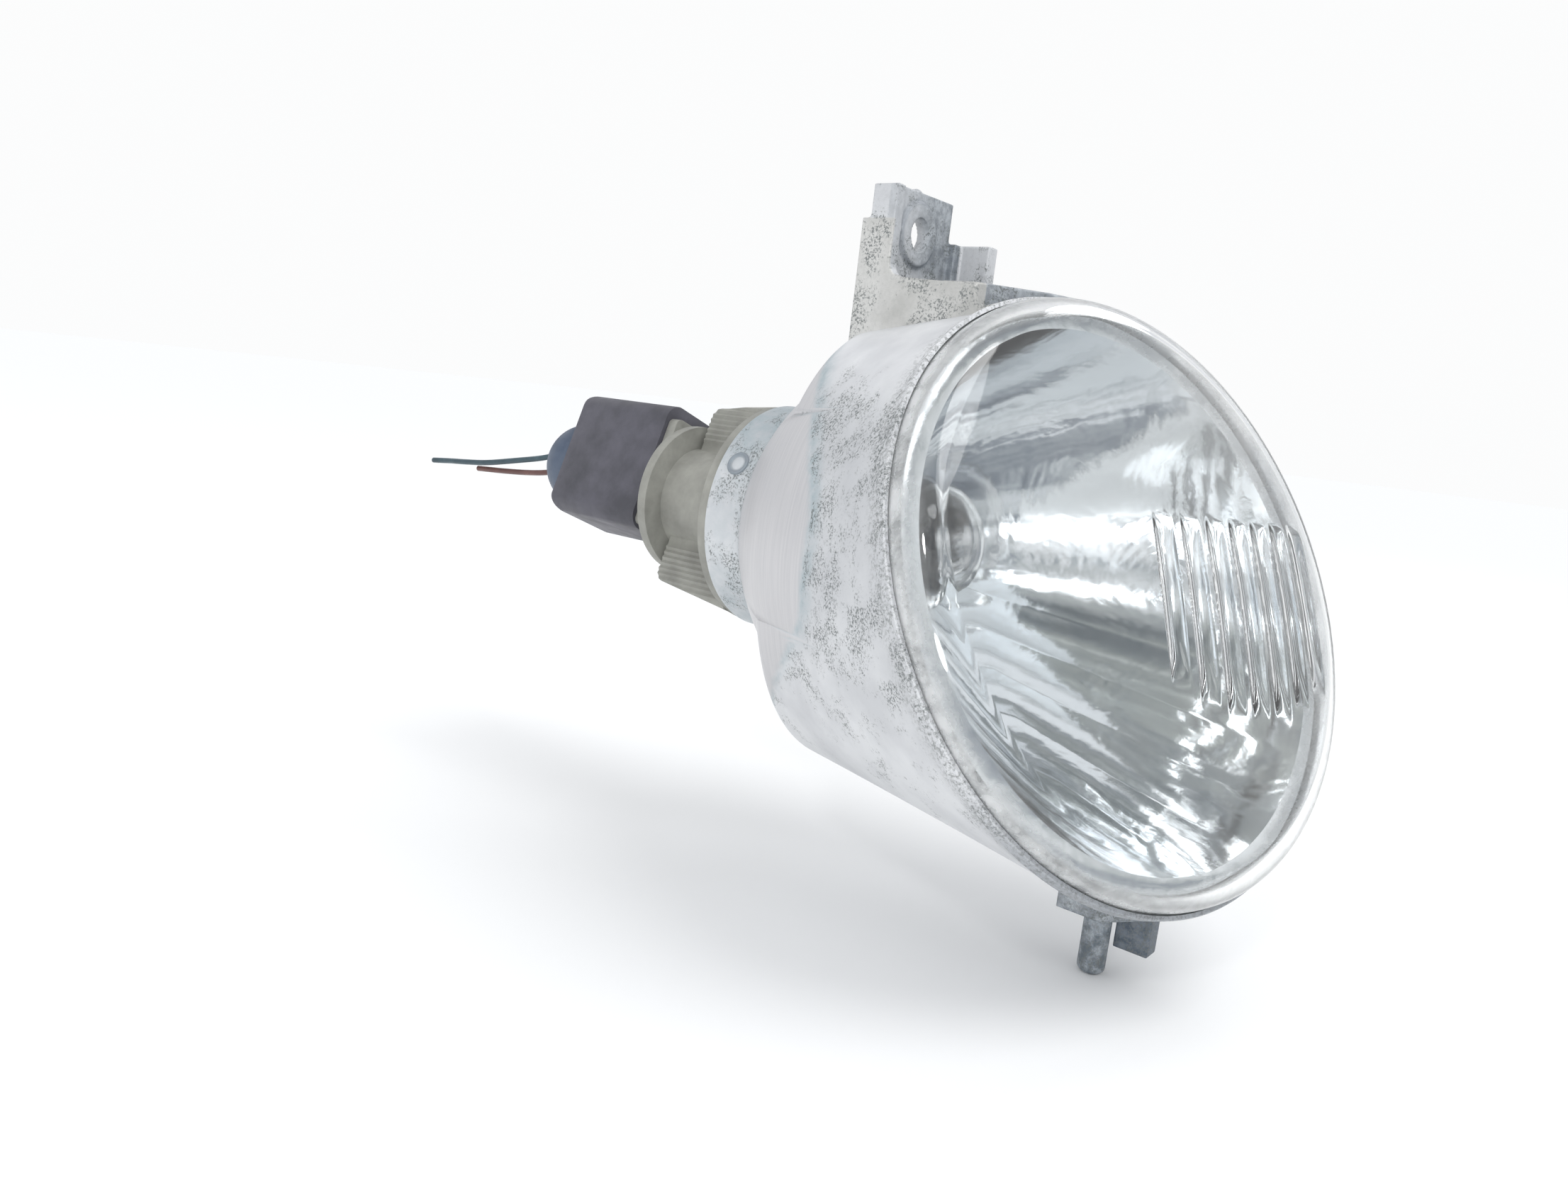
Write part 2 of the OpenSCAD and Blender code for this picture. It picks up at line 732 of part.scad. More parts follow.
module flute(x) {
    lean = 0.13;
    low = flute_low - 0.011 * (x - 24) * (x - 24);
    reach = lens_a - flute_r;
    a = [x, min(flute_top, sqrt(reach * reach - x * x))];
    b = [x - lean * (a[1] + low), -low];
    pa = [a[0], a[1], lens_inner_h(norm(a))];
    pb = [b[0], b[1], lens_inner_h(norm(b))];
    v = pa - pb;
    translate(pb)
        rotate([0, acos(v[2] / norm(v)), atan2(v[1], v[0])])
            rotate_extrude() intersection() {
                union() {
                    square([flute_r, norm(v)]);
                    circle(r = flute_r);
                    translate([0, norm(v)]) circle(r = flute_r);
                }
                translate([0, -2 * flute_r]) square([2 * flute_r, norm(v) + 4 * flute_r]);
            }
}

module lens() {
    color("white", 0.5) placed() on_lens() {
        difference() {
            rotate_extrude() lens_outline(0, -foot_in);
            rotate_extrude() lens_outline(lens_wall, -foot_in - 1);
        }
        for (i = [0 : flute_count - 1])
            flute(flute_first + i * flute_pitch);
    }
}

// reflector: bowl from a round rear hole to the round rim
refl_hole = glass_r + refl_gap;
refl_rim_in = ledge_r + 0.8 - refl_rim;

function bowl_point(a, s, hole, back, rim_r, rim_h) =
    let (
        p = [hole * cos(a), -back, hole * sin(a)],
        q = at_seat(rim_r * cos(a), rim_r * sin(a), rim_h),
        k = pow(s, refl_curve)
    )
    [p[0] + (q[0] - p[0]) * s, p[1] + (q[1] - p[1]) * k, p[2] + (q[2] - p[2]) * s];

module reflector() {
    n = 48;
    m = 7;
    ledge = ledge_r + 0.8;
    rings = concat(
        [for (j = [0 : m - 1]) [for (i = [0 : n - 1])
            bowl_point(360 * i / n, j / m, refl_hole, refl_back - refl_t,
                refl_rim_in + refl_t, -ledge_t)]],
        [for (e = [[refl_rim_in + refl_t, -ledge_t], [ledge, -ledge_t], [ledge, 0]])
            [for (i = [0 : n - 1])
                let (a = 360 * i / n) at_seat(e[0] * cos(a), e[0] * sin(a), e[1])]],
        [for (j = [m : -1 : 0]) [for (i = [0 : n - 1])
            bowl_point(360 * i / n, j / m, refl_hole, refl_back, refl_rim_in, 0)]]
    );
    pts = [for (r = rings) for (p = r) p];
    color("gainsboro") placed()
        polyhedron(points = pts, faces = ring_faces(len(rings), n), convexity = 8);
}

module lens_sealant() {
    g = 0.03;
    floor_h = channel_low + g;
    color("dimgray") placed() on_lens() rotate_extrude() polygon([
        [channel_in + g, floor_h],
        [channel_out - g, floor_h],
        [channel_out - g, -0.5],
        [lens_r + g, -0.5],
        [lens_r + g, -foot_in - g],
        [lens_r - lens_wall - g, -foot_in - g],
        [lens_r - lens_wall - g, -ledge_t - 0.4],
        [channel_in + g, -ledge_t - 0.4]
    ]);
}

// bulb holder
module tab() {
    n = 8;
    z0 = body_r - 1.5;
    z1 = tab_r - 1;
    ribs = [for (i = [0 : 2 * n]) [
        tab_w / 2 - (i % 2 == 0 ? rib_h : 0),
        z1 - (2 * n - i) * rib_pitch / 2
    ]];
    left = [for (i = [2 * n : -1 : 0]) [-ribs[i][0], ribs[i][1]]];
    back = body_back - 1.3;
    intersection() {
        along_y(flange_back - 0.5, back) polygon(concat(
            [[tab_w / 2 - rib_h, z0]], ribs, [[tab_w / 2 - 1, tab_r + 1], [1 - tab_w / 2, tab_r + 1]],
            left, [[rib_h - tab_w / 2, z0]]
        ));
        along_x(-tab_w, tab_w) {
            polygon([
                [flange_back - 0.5, z0],
                [flange_back - 0.5, tab_r],
                [back - 2.5, tab_r - tab_fall],
                [back - 2.5, z0]
            ]);
            translate([back - 2.5, z0]) square([2.5, tab_r - tab_fall - 2.5 - z0]);
            translate([back - 2.5, tab_r - tab_fall - 2.5]) circle(r = 2.5);
        }
    }
}

module holder_outside() {
    rod(-barrel_in, 0.5, barrel_r);
    rod(flange_gap, flange_back, flange_r);
    rod(flange_back - 0.5, body_back + 0.5, body_r);
    rod(body_back, collar_back, collar_r);
    for (k = [0 : 2])
        rotate([0, 120 * k, 0])
            intersection() {
                rod(blug_y - blug_t, blug_y, blug_r);
                block(-blug_w / 2, blug_w / 2, blug_y - blug_t - 1, blug_y + 1, 0, neck_r);
            }
    tab();
    rotate([0, 180, 0]) tab();
    translate([0, 0, conn_z]) {
        intersection() {
            along_y(collar_back - 0.5, slant_back + 0.5)
                round_box(base_hx - 0.5, base_hz - 2.4, 1);
            translate([0, body_back, -conn_z]) rotate([-90, 0, 0])
                cylinder(h = 8, r1 = collar_r - 0.6, r2 = collar_r + 5);
        }
        along_y(slant_back, base_back) round_box(base_hx, base_hz, 1.5);
        along_y(base_back - 0.5, tower_back) round_box(tower_hx, tower_hz, 1.2);
    }
}

module holder_body() {
    g = fixed_gap;
    color("tan") in_holder() difference() {
        holder_outside();
        // seat of the seal
        tube(-1, flange_gap + seal_t, seal_r + g, seal_r - seal_w - g);
        // bore for the bulb, then the seat of sleeve and insulator
        rod(-barrel_in - 1, cap_back + 1, pin_reach + 0.5);
        rod(cap_back, bore_back, sleeve_r + g);
        // ways of the two terminals
        block(-blade_w / 2 - g, blade_w / 2 + g, bore_back - 0.5, base_back + 1,
            way_hi - blade_t / 2 - g, way_hi + blade_t / 2 + g);
        block(-blade_w / 2 - g, blade_w / 2 + g, cap_back + 0.5, earth_y + blade_t + g,
            -sleeve_r - blade_t - 2 * g, -sleeve_r + 1);
        block(-blade_w / 2 - g, blade_w / 2 + g, earth_y - g, earth_y + blade_t + g,
            -sleeve_r - blade_t - 2 * g, way_lo + blade_t / 2 + g);
        block(-blade_w / 2 - g, blade_w / 2 + g, earth_y, base_back + 1,
            way_lo - blade_t / 2 - g, way_lo + blade_t / 2 + g);
        // inside of the tower
        translate([0, 0, conn_z]) along_y(tower_floor, tower_back + 1)
            round_box(tower_hx - tower_t, tower_hz - tower_t, 0.6);
    }
}

module holder_seal() {
    color("black") in_holder() tube(0, flange_gap + seal_t, seal_r, seal_r - seal_w);
}

module pin_slot() {
    w = pin_r + pin_play;
    y_rest = -pin_at;
    block(sleeve_r - 2, sleeve_r + 2, y_rest - pin_r - 0.05, y_rest + press + w, -w, w);
    rotate([0, -35, 0])
        block(sleeve_r - 2, sleeve_r + 2, -sleeve_in - 1, y_rest + press + w, -w, w);
    for (a = [-9, -18, -27])
        rotate([0, a, 0])
            block(sleeve_r - 2, sleeve_r + 2, y_rest + press - w, y_rest + press + w, -w, w);
}

module bayonet_sleeve() {
    color("goldenrod") in_holder() difference() {
        tube(-sleeve_in, cup_front - 0.05, sleeve_r, sleeve_r - sleeve_t);
        pin_slot();
        rotate([0, 180, 0]) pin_slot();
    }
}

module contact_insulator() {
    g = fixed_gap;
    color("saddlebrown") in_holder() difference() {
        rod(cup_front, cup_back, cup_r);
        rod(cup_front - 1, live_back + g, live_r + g);
        block(-blade_w / 2 - g, blade_w / 2 + g, cup_front - 1, live_back + g,
            0, way_hi + blade_t / 2 + g);
        block(-blade_w / 2 - g, blade_w / 2 + g, live_back - 1, cup_back + 1,
            way_hi - blade_t / 2 - g, way_hi + blade_t / 2 + g);
    }
}

module blade(z, y0) {
    w = blade_w / 2;
    along_x(-w, w) translate([0, z]) polygon([
        [y0, -blade_t / 2],
        [y0, blade_t / 2],
        [blade_back - 1, blade_t / 2],
        [blade_back, 0.1],
        [blade_back, -0.1],
        [blade_back - 1, -blade_t / 2]
    ]);
}

module live_terminal() {
    w = blade_w / 2;
    color("khaki") in_holder() {
        rod(live_front, live_back, live_r);
        block(-w, w, live_front, live_back, 0, way_hi + blade_t / 2);
        blade(way_hi, live_front);
    }
}

module earth_terminal() {
    w = blade_w / 2;
    z0 = -sleeve_r - blade_t - fixed_gap;
    color("khaki") in_holder() {
        block(-w, w, cap_back + 1, earth_y + blade_t, z0, z0 + blade_t);
        block(-w, w, earth_y, earth_y + blade_t, z0, way_lo + blade_t / 2);
        blade(way_lo, earth_y);
    }
}

// helix tube about the bulb axis, its own least gap printed below
spring_pitch = (spring_len - 2 * spring_wire) / spring_turns;
spring_rings = 8 * spring_turns;

function spring_at(t) =
    let (a = 360 * spring_turns * t)
    [spring_r * cos(a), disc_back + spring_wire + (spring_len - 2 * spring_wire) * t, spring_r * sin(a)];

module contact_spring() {
    n = 6;
    rings = spring_rings;
    slope = atan(spring_pitch / (2 * PI * spring_r));
    pts = [
        for (k = [0 : rings])
            let (
                t = k / rings,
                c = spring_at(t),
                a = 360 * spring_turns * t,
                e = [cos(a), 0, sin(a)],
                f = [sin(a) * sin(slope), cos(slope), -cos(a) * sin(slope)]
            )
            for (i = [0 : n - 1])
                let (b = 360 * i / n)
                c + spring_wire * (cos(b) * e + sin(b) * f)
    ];
    faces = concat(
        band_faces(rings + 1, n),
        [cap_face(0, n, false), cap_face(rings * n, n, true)]
    );
    echo(least_gap_of_spring = spring_pitch * cos(slope) - 2 * spring_wire);
    color("lightgray") in_holder() polyhedron(points = pts, faces = faces, convexity = 8);
}

module plunger_disc() {
    color("sienna") in_holder()
        tube(head_back, disc_back, sleeve_r - sleeve_t - disc_gap, shank_r + fixed_gap);
}

module contact_button() {
    color("gold") in_holder() {
        rod(tip_back, head_back, tip_r);
        rod(head_back - 0.1, disc_back + shank_len, shank_r);
    }
}

// bulb
glass_hyp = norm([glass_neck_r, glass_y - cap_front + 3]);
glass_deg = atan2(cap_front - 3 - glass_y, glass_neck_r) - acos(glass_r / glass_hyp);

module glass_profile(d) {
    r = glass_r - d;
    intersection() {
        translate([0, glass_y]) circle(r = r);
        translate([0, glass_y - r - 1]) square([r + 1, 3 * r]);
    }
    polygon([
        [0, glass_y],
        [r * cos(glass_deg), glass_y + r * sin(glass_deg)],
        [glass_neck_r - d, cap_front - 3],
        [glass_neck_r - d, cap_front + 2 - 2 * d],
        [0, cap_front + 2 - 2 * d]
    ]);
}

module bulb_glass() {
    color("white", 0.4) in_holder() turned() difference() {
        glass_profile(0);
        glass_profile(glass_t);
    }
}

module bulb_cap() {
    color("gold") in_holder() difference() {
        rod(cap_front, cap_back, cap_r);
        rod(cap_front - 1, cap_back - 0.6, cap_r - 0.6);
    }
}

module bulb_pins() {
    color("gold") in_holder()
        for (s = [-1, 1])
            translate([s * (cap_r + 0.02), -pin_at, 0]) rotate([0, 90 * s, 0])
                cylinder(h = pin_reach - cap_r - 0.02, r = pin_r);
}

module bulb_insulator() {
    color("black") in_holder() translate([0, cap_back, 0]) rotate([-90, 0, 0])
        cylinder(h = ins_h, r1 = cap_r - 0.8, r2 = cap_r - 3);
}

module bulb_tip() {
    color("silver") in_holder() rod(ins_back, tip_back, tip_r);
}

module bulb_stem() {
    color("white") in_holder() rod(fil_y + 12, cap_front + 2 - 2 * glass_t, 2.2);
}

module filament_supports() {
    color("gray") in_holder()
        for (s = [-1, 1])
            rod_at(s * (filament_len / 2 - 0.4), 0, fil_y + 0.3, fil_y + 12, 0.3);
}

module filament() {
    color("dimgray") in_holder()
        translate([-filament_len / 2, fil_y, 0]) rotate([0, 90, 0])
            cylinder(h = filament_len, r = 0.3);
}

// connector
module shell_side() {
    y0 = shell_front;
    y1 = shell_back;
    lo = conn_z + shell_up - shell_hz;
    hi = conn_z + shell_up + shell_hz;
    translate([y0, lo]) square([y1 - y0 - shell_low_r, hi - lo]);
    translate([y0, lo + shell_low_r]) square([y1 - y0, hi - lo - shell_low_r - shell_top_r]);
    translate([y0, lo + shell_low_r]) square([y1 - y0 - shell_top_r, hi - lo - shell_low_r]);
    translate([y1 - shell_low_r, lo + shell_low_r]) circle(r = shell_low_r);
    translate([y1 - shell_top_r, hi - shell_top_r]) circle(r = shell_top_r);
}

module connector_shell() {
    g = plug_gap;
    color("#3a3538") in_holder() difference() {
        intersection() {
            translate([0, 0, conn_z + shell_up]) along_y(shell_front, shell_back)
                round_box(shell_hx, shell_hz, shell_edge);
            along_x(-shell_hx - 1, shell_hx + 1) shell_side();
        }
        translate([0, 0, conn_z]) difference() {
            along_y(shell_front - 1, cavity_back) round_box(tower_hx + g, tower_hz + g, 1.2 + g);
            along_y(core_front, cavity_back + 1) round_box(core_hx, core_hz, 0.4);
        }
        for (z = [way_lo, way_hi]) {
            block(-cell_x, cell_x, cell_front, cell_back, z - cell_z, z + cell_z);
            block(-blade_w / 2 - 0.2, blade_w / 2 + 0.2, core_front - 1, cell_front + 1,
                z - blade_t / 2 - 0.2, z + blade_t / 2 + 0.2);
            rod_at(0, z, cell_back - 1, shell_back + 1, wire_r + 0.15);
        }
    }
}

module connector_seal() {
    y1 = shell_back + boot_len;
    sr = (boot_r * boot_r + boot_rise * boot_rise) / (2 * boot_rise);
    color("midnightblue") in_holder() difference() {
        translate([0, 0, conn_z]) {
            rod(shell_back, y1, boot_r);
            intersection() {
                translate([0, boot_back - sr, 0]) sphere(r = sr);
                rod(y1 - 0.01, boot_back + 1, boot_r);
            }
        }
        for (z = [way_lo, way_hi])
            rod_at(0, z, shell_back - 1, boot_back + 1, wire_r - wire_grip);
    }
}

module receptacle(z) {
    w = blade_w / 2 + 0.5;
    t = blade_t / 2 + 0.5;
    in_holder() difference() {
        union() {
            block(-w, w, rec_front, rec_back, z - t, z + t);
            rod_at(0, z, rec_back - 0.5, crimp_back, crimp_r);
        }
        block(-blade_w / 2 - 0.1, blade_w / 2 + 0.1, rec_front - 1, blade_back + 0.5,
            z - blade_t / 2 - 0.1, z + blade_t / 2 + 0.1);
        rod_at(0, z, crimp_back - 3, crimp_back + 1, wire_r + 0.05);
    }
}

module live_receptacle() {
    color("khaki") receptacle(way_hi);
}

module earth_receptacle() {
    color("khaki") receptacle(way_lo);
}

// wires
function bend(p, q, r, s, t) =
    0.5 * ((2 * q) + (r - p) * t + (2 * p - 5 * q + 4 * r - s) * t * t
    + (3 * q - p - 3 * r + s) * t * t * t);

function smooth(path, k) = concat(
    [for (i = [0 : len(path) - 2])
        for (j = [0 : k - 1])
            bend(path[max(i - 1, 0)], path[i], path[i + 1], path[min(i + 2, len(path) - 1)], j / k)],
    [path[len(path) - 1]]
);

module wire(path, z) {
    n = 8;
    pts0 = concat([[0, crimp_back - 2.9, z]], smooth(path, 3));
    rings = len(pts0);
    pts = [
        for (k = [0 : rings - 1])
            let (
                a = pts0[max(k - 1, 0)],
                b = pts0[min(k + 1, rings - 1)],
                d = k == 0 ? [0, 1, 0] : unit(b - a),
                e = unit(cross(d, [0, 0, 1])),
                f = cross(d, e)
            )
            for (i = [0 : n - 1])
                let (s = 360 * (i + 0.5) / n)
                pts0[k] + wire_r * (cos(s) * e + sin(s) * f)
    ];
    faces = concat(
        band_faces(rings, n),
        [cap_face(0, n, false), cap_face((rings - 1) * n, n, true)]
    );
    in_holder() polyhedron(points = pts, faces = faces, convexity = 6);
}

module wire_upper() {
    color("darkslategray") wire(upper_path, way_hi);
}

module wire_lower() {
    color("sienna") wire(lower_path, way_lo);
}

housing();
lens();
reflector();
lens_sealant();
holder_body();
holder_seal();
bayonet_sleeve();
contact_insulator();
live_terminal();
earth_terminal();
contact_spring();
plunger_disc();
contact_button();
bulb_glass();
bulb_cap();
bulb_pins();
bulb_insulator();
bulb_tip();
bulb_stem();
filament_supports();
filament();
connector_shell();
connector_seal();
live_receptacle();
earth_receptacle();
wire_upper();
wire_lower();
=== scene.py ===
import math

import bmesh
import bpy
import numpy as np
from mathutils import Matrix, Vector


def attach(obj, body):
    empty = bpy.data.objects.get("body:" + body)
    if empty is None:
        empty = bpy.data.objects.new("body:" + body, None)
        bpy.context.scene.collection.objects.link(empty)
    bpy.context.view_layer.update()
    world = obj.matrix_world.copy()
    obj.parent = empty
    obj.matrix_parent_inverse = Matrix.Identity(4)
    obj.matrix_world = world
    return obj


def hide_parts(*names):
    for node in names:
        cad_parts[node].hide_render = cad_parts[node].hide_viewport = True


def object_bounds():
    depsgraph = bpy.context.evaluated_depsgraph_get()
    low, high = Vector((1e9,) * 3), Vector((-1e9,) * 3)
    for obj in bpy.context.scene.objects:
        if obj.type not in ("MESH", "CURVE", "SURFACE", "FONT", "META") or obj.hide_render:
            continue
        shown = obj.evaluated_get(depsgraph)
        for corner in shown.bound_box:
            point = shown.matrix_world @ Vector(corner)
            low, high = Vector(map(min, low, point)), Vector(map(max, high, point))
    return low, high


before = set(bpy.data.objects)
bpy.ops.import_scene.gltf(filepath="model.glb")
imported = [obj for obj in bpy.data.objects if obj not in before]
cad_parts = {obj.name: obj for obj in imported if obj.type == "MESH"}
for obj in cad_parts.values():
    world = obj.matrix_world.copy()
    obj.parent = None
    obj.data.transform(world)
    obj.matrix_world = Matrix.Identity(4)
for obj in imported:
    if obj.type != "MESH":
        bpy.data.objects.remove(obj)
cad_low, cad_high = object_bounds()

# Sizes are in millimetres about the bulb axis, as in the part's source: -Y forward to the lens,
# +Y to the wires, Z up, and the origin at the centre of the neck's rear edge. The CAD frame has
# its own origin in the fixing hole.
MM = 0.001
HOLE = np.array([-1.0, -25.35, 57.3])
HOLDER_TURN = math.radians(20)
NEAR_AXIS = 0.02

# Neck, dome and skirt
NECK_R = 23.0
NECK_LEN = 9.0
NECK_BORE_R = 17.0
NECK_PROFILE = ((NECK_R - 0.3, 0), (NECK_R - 0.09, -0.09), (NECK_R, -0.3))
FILLET_BACK = 0.95
FILLET_AHEAD = 0.6
FLANGE_T = 3.0
SHELL_T = 2.6
CHAMBER_R = NECK_R - SHELL_T
DOME_R = 39.5
DOME_DEPTH = 40.0
DOME_ARC_R = 45.0
SKIRT_BACK = 18.6
SKIRT_HALF_W = 30.4
SKIRT_TOP = 39.6
SKIRT_BOTTOM = 44.6
SKIRT_ROUND = 5.0
SKIRT_MID = (SKIRT_TOP - SKIRT_BOTTOM) / 2
SKIRT_HALF_H = (SKIRT_TOP + SKIRT_BOTTOM) / 2

# Lens seat, rim and lens
SEAT = np.array([0.0, -77.4, -1.1])
SWEEP = math.radians(16)
TILT = math.radians(25.5)
LENS_R = 52.8
LENS_WALL = 2.3
LENS_SIDE = 0.5
LENS_SHOULDER = 6.5
LENS_RISE = 4.0
FOOT_IN = 1.7
CHANNEL_IN = LENS_R - LENS_WALL - 0.2
CHANNEL_OUT = LENS_R + 0.3
CHANNEL_FLOOR = 2.0
RIM_R = CHANNEL_OUT + 0.8
RIM_DEPTH = 4.0
CHANNEL_LOW = CHANNEL_FLOOR - RIM_DEPTH
LEDGE_T = 1.0
LEDGE_R = CHANNEL_IN - LEDGE_T
FLUTE_R = 2.4
FLUTE_RISE = 0.5
FLUTE_PITCH = 7.15
FLUTE_FIRST = -0.6
FLUTE_COUNT = 7
FLUTE_TOP = 11.0
FLUTE_LOW = 25.5
FLUTE_LOWEST_X = 24
FLUTE_BOW = 0.011
FLUTE_LEAN = 0.13
FLUTE_FADE_TOP = 6
FLUTE_FADE_LOW = 10

# From the skirt round the rim and through the channel to the ledge: radius and height at the seat
RIM_PROFILE = ((RIM_R - 0.25, CHANNEL_LOW - 0.15), (RIM_R - 0.02, CHANNEL_LOW + 0.1),
    (RIM_R, -0.9), (RIM_R, -0.2), (RIM_R - 0.2, 0), (CHANNEL_OUT, 0), (CHANNEL_OUT, CHANNEL_LOW),
    (CHANNEL_IN, CHANNEL_LOW), (CHANNEL_IN, -LEDGE_T), (LEDGE_R, -LEDGE_T))
SKIRT_END = (RIM_R - 0.7, CHANNEL_LOW - 0.3)
LINING_END = (LEDGE_R + 0.3, -RIM_DEPTH + CHANNEL_FLOOR / 2)
CORE_END = (LEDGE_R + 0.8, 1)

# Reflector and bulb
REFL_BACK = 16.0
REFL_T = 1.4
REFL_RIM = 3.0
REFL_LAP = 0.8
REFL_CURVE = 1.25
SCALLOP_COUNT = 22
SCALLOP_DEPTH = 0.35
SCALLOP_BELOW = (-0.15, -0.55)
SCALLOP_BACK = (0.10, 0.35)
SCALLOP_FRONT = (1.0, 0.88)
GLASS_R = 13.2
GLASS_Y = -33.3
GLASS_T = 0.8
GLASS_NECK_R = 6.6
CAP_FRONT = -12.5
GLASS_NECK_Y = CAP_FRONT - 3
GLASS_END = CAP_FRONT + 2
REFL_HOLE = GLASS_R + 1.8

# Brackets
PLATE_FRONT = 26.0
PLATE_T = 2.0
PLATE_TOP = 65.0
BOSS_R = 5.8
BOSS_H = 0.7
HOLE_R = 3.0
NUB_W = 1.2
NUB_H = 0.5
BRACKET_OUT = 10.0
PLATE_IN = 10.5
CHEEK_T = 2.5
CHEEK_BACK = 19.5
CHEEK_STEP = 21.2
CHEEK_STEP_Z = HOLE[2] + 1.6
CROOK_R = 2.5
LEG_BOTTOM = 39.6
LEG_TOP = 48.5
LEG_FRONT = 46.4
LEG_ROOT = LEG_BOTTOM - 5
INNER_FACE = 15.0
INNER_TOP = 57.5
INNER_FRONT = 34.5
INNER_T = 3
INNER_ROOT = LEG_BOTTOM - 4
WEB_TOP = LEG_BOTTOM + 2
WEB_ROOT = SKIRT_TOP - 6
SLOPE_ROOT = LEG_BOTTOM - 3
SLOPE_END_Y = SEAT[1] + 12
WEDGE_PLAN = ((-9.0, -38), (-9.0, -44.6), (6.4, -55.2), (13.5, -56.6), (13.5, -38))
WEDGE_TOP = LEG_TOP - 0.3
BLOCK_MID = 81.4
BLOCK_HALF = 4.2
BLOCK_LOW = 55.2
BLOCK_OUT = 10.0
BLOCK_IN = 9.0
BLOCK_LEAD = 6.0
PEG_X = -0.5
PEG_R = 2.45
PEG_LEN = 13.3
PEG_POINT = 0.8
LUG_W = 4.1
LUG_D = 6.3
LUG_LEN = 8.5
LUG_X = 4.0
LUG_LAP = 1.9
ROOT_COVER = 0.8
VOXEL = 0.3

# The plain raised ring on the neck: its place, and radius, height and darkness of each ring
MARK_TURN = math.radians(-61)
MARK_Y = -4.6
MARK_PROFILE = ((2.4, 21.5, 0.6), (2.4, 23.25, 0.9), (2.28, 23.4, 0.9), (1.95, 23.4, 0.9),
    (1.75, 23.2, 0.9), (1.4, 23.12, 0.6), (1.25, 23.2, 0.3), (NEAR_AXIS, 23.2, 0.25))

# Connector and wires: the routes of the part's source, in the holder's frame
CONN_Z = 3.0
SHELL_BACK = 57.7
BOOT_R = 10.1
BOOT_LEN = 3.8
BOOT_RISE = 8.5
WIRE_R = 0.7
UPPER_PATH = ((0, 69.6, 5.35), (0, 70.4, 5.35), (-0.2, 77, 3.2), (-0.5, 86, 1.2),
    (-0.8, 96, -0.8), (-0.8, 104, -1.7), (-0.8, 111, -2.3), (-0.8, 118, -3))
LOWER_PATH = ((0, 69.6, 0.55), (0, 70.4, 0.55), (0.2, 75.5, -0.4), (0.6, 82, -1.1),
    (0.9, 90, -1.7), (0.9, 96, -2.1), (0.9, 101, -2.4))

# Where the turned finish of the dome ends: y at each z
TURNED_Z = (-36.0, -29.6, -23.4, -18.5, -12.3, -8.5, -1.0, 5.2, 10.6, 15.0, 21.5, 27.9, 31.2, 36.0)
TURNED_Y = (-18.0, -23.0, -27.7, -31.6, -36.4, -37.0, -37.1, -37.5, -35.6, -32.9, -28.7, -24.3,
    -22.0, -18.0)

# How the casting's finishes and its painted shade fade in: the two ends of an ease, in millimetres
NECK_FADE = (-NECK_LEN - 1.5, -NECK_LEN + 0.5)
TURNED_FADE = (0.5, -0.5)
SKIRT_FADE = (-0.3, 0.6)
CREASE_FADE = (1.3, 0.2)
CREASE_SKIRT = (5, 0.5)
JOINT_FADE = (3.5, 0.5)
RIM_SOOT = (-6.5, -2.2)
RIM_SHADE = (-5, -3)
SPECK_TOP = (34, 22)
SPECK_LOW = (-30, -6)
GROOVE_FADE = (0.75, 0.2)

# Tones of the casting, from dark to light, and what is laid over them, some of it painted shade
DOME_TONES = (0.48, 0.48, 0.495), (0.545, 0.54, 0.55)
SKIRT_TONES = (0.61, 0.62, 0.64), (0.74, 0.75, 0.765)
SAND_TONES = (0.44, 0.44, 0.425), (0.57, 0.57, 0.555)
BLUE_GREY_TONES = (0.12, 0.145, 0.17), (0.33, 0.365, 0.40)
SPECKED = (0.36, 0.375, 0.39)
DARK_MARK_AND_SHADE = (0.06, 0.085, 0.12)
TINT_AND_CREASE_SHADE = (0.34, 0.41, 0.44)
SOOT = (0.20, 0.21, 0.21)
PITTED = (0.17, 0.185, 0.185)

# Camera at the photograph's viewing angle
CAMERA_AT = np.array([-193.116, -152.316, 24.549])
CAMERA_AZIMUTH = math.radians(-52.4)
CAMERA_ELEVATION = math.radians(9.2)
CAMERA_ROLL = math.radians(6.6)
PHOTO_WIDTH = 2212
FOCAL_PIXELS = 1664
SENSOR = 36.0

# Stage and lights, in metres
FLOOR_HALF = 6.0
SUN_FROM = (0.15, -0.55, 1.0)
SUN_ANGLE = math.radians(35)
SUN_POWER = 0.95
LAMPS = (
    ("glow", (-0.945, -0.341, 0.057), 0.20, 1.9),
    ("spot", (-0.764, -0.280, 0.590), 0.10, 1.0),
    ("back", (0.62, -0.20, 0.64), 0.30, 0.7),
)
WHITE = (1.0, 1.0, 1.0)
BACKDROP = (0.972, 0.976, 0.978)
SURROUND = (0.80, 0.81, 0.83)
PALE_FLAG = (0.62, 0.65, 0.69)
FLAGS = ((0.36, (0.05, 0.065, 0.095)), (0.44, (0.19, 0.22, 0.26)), (0.50, (0.50, 0.52, 0.52)),
    (0.59, WHITE))
OVERHEAD = ((0.36, (0.03, 0.04, 0.05)), (0.47, (0.15, 0.17, 0.18)), (0.59, (0.34, 0.36, 0.34)),
    (0.69, WHITE))


def unit(v):
    return v / np.linalg.norm(v)


def to_frame(points):
    """Points about the bulb axis, in millimetres, to the CAD frame in metres."""
    return (np.asarray(points, float) - HOLE) * MM


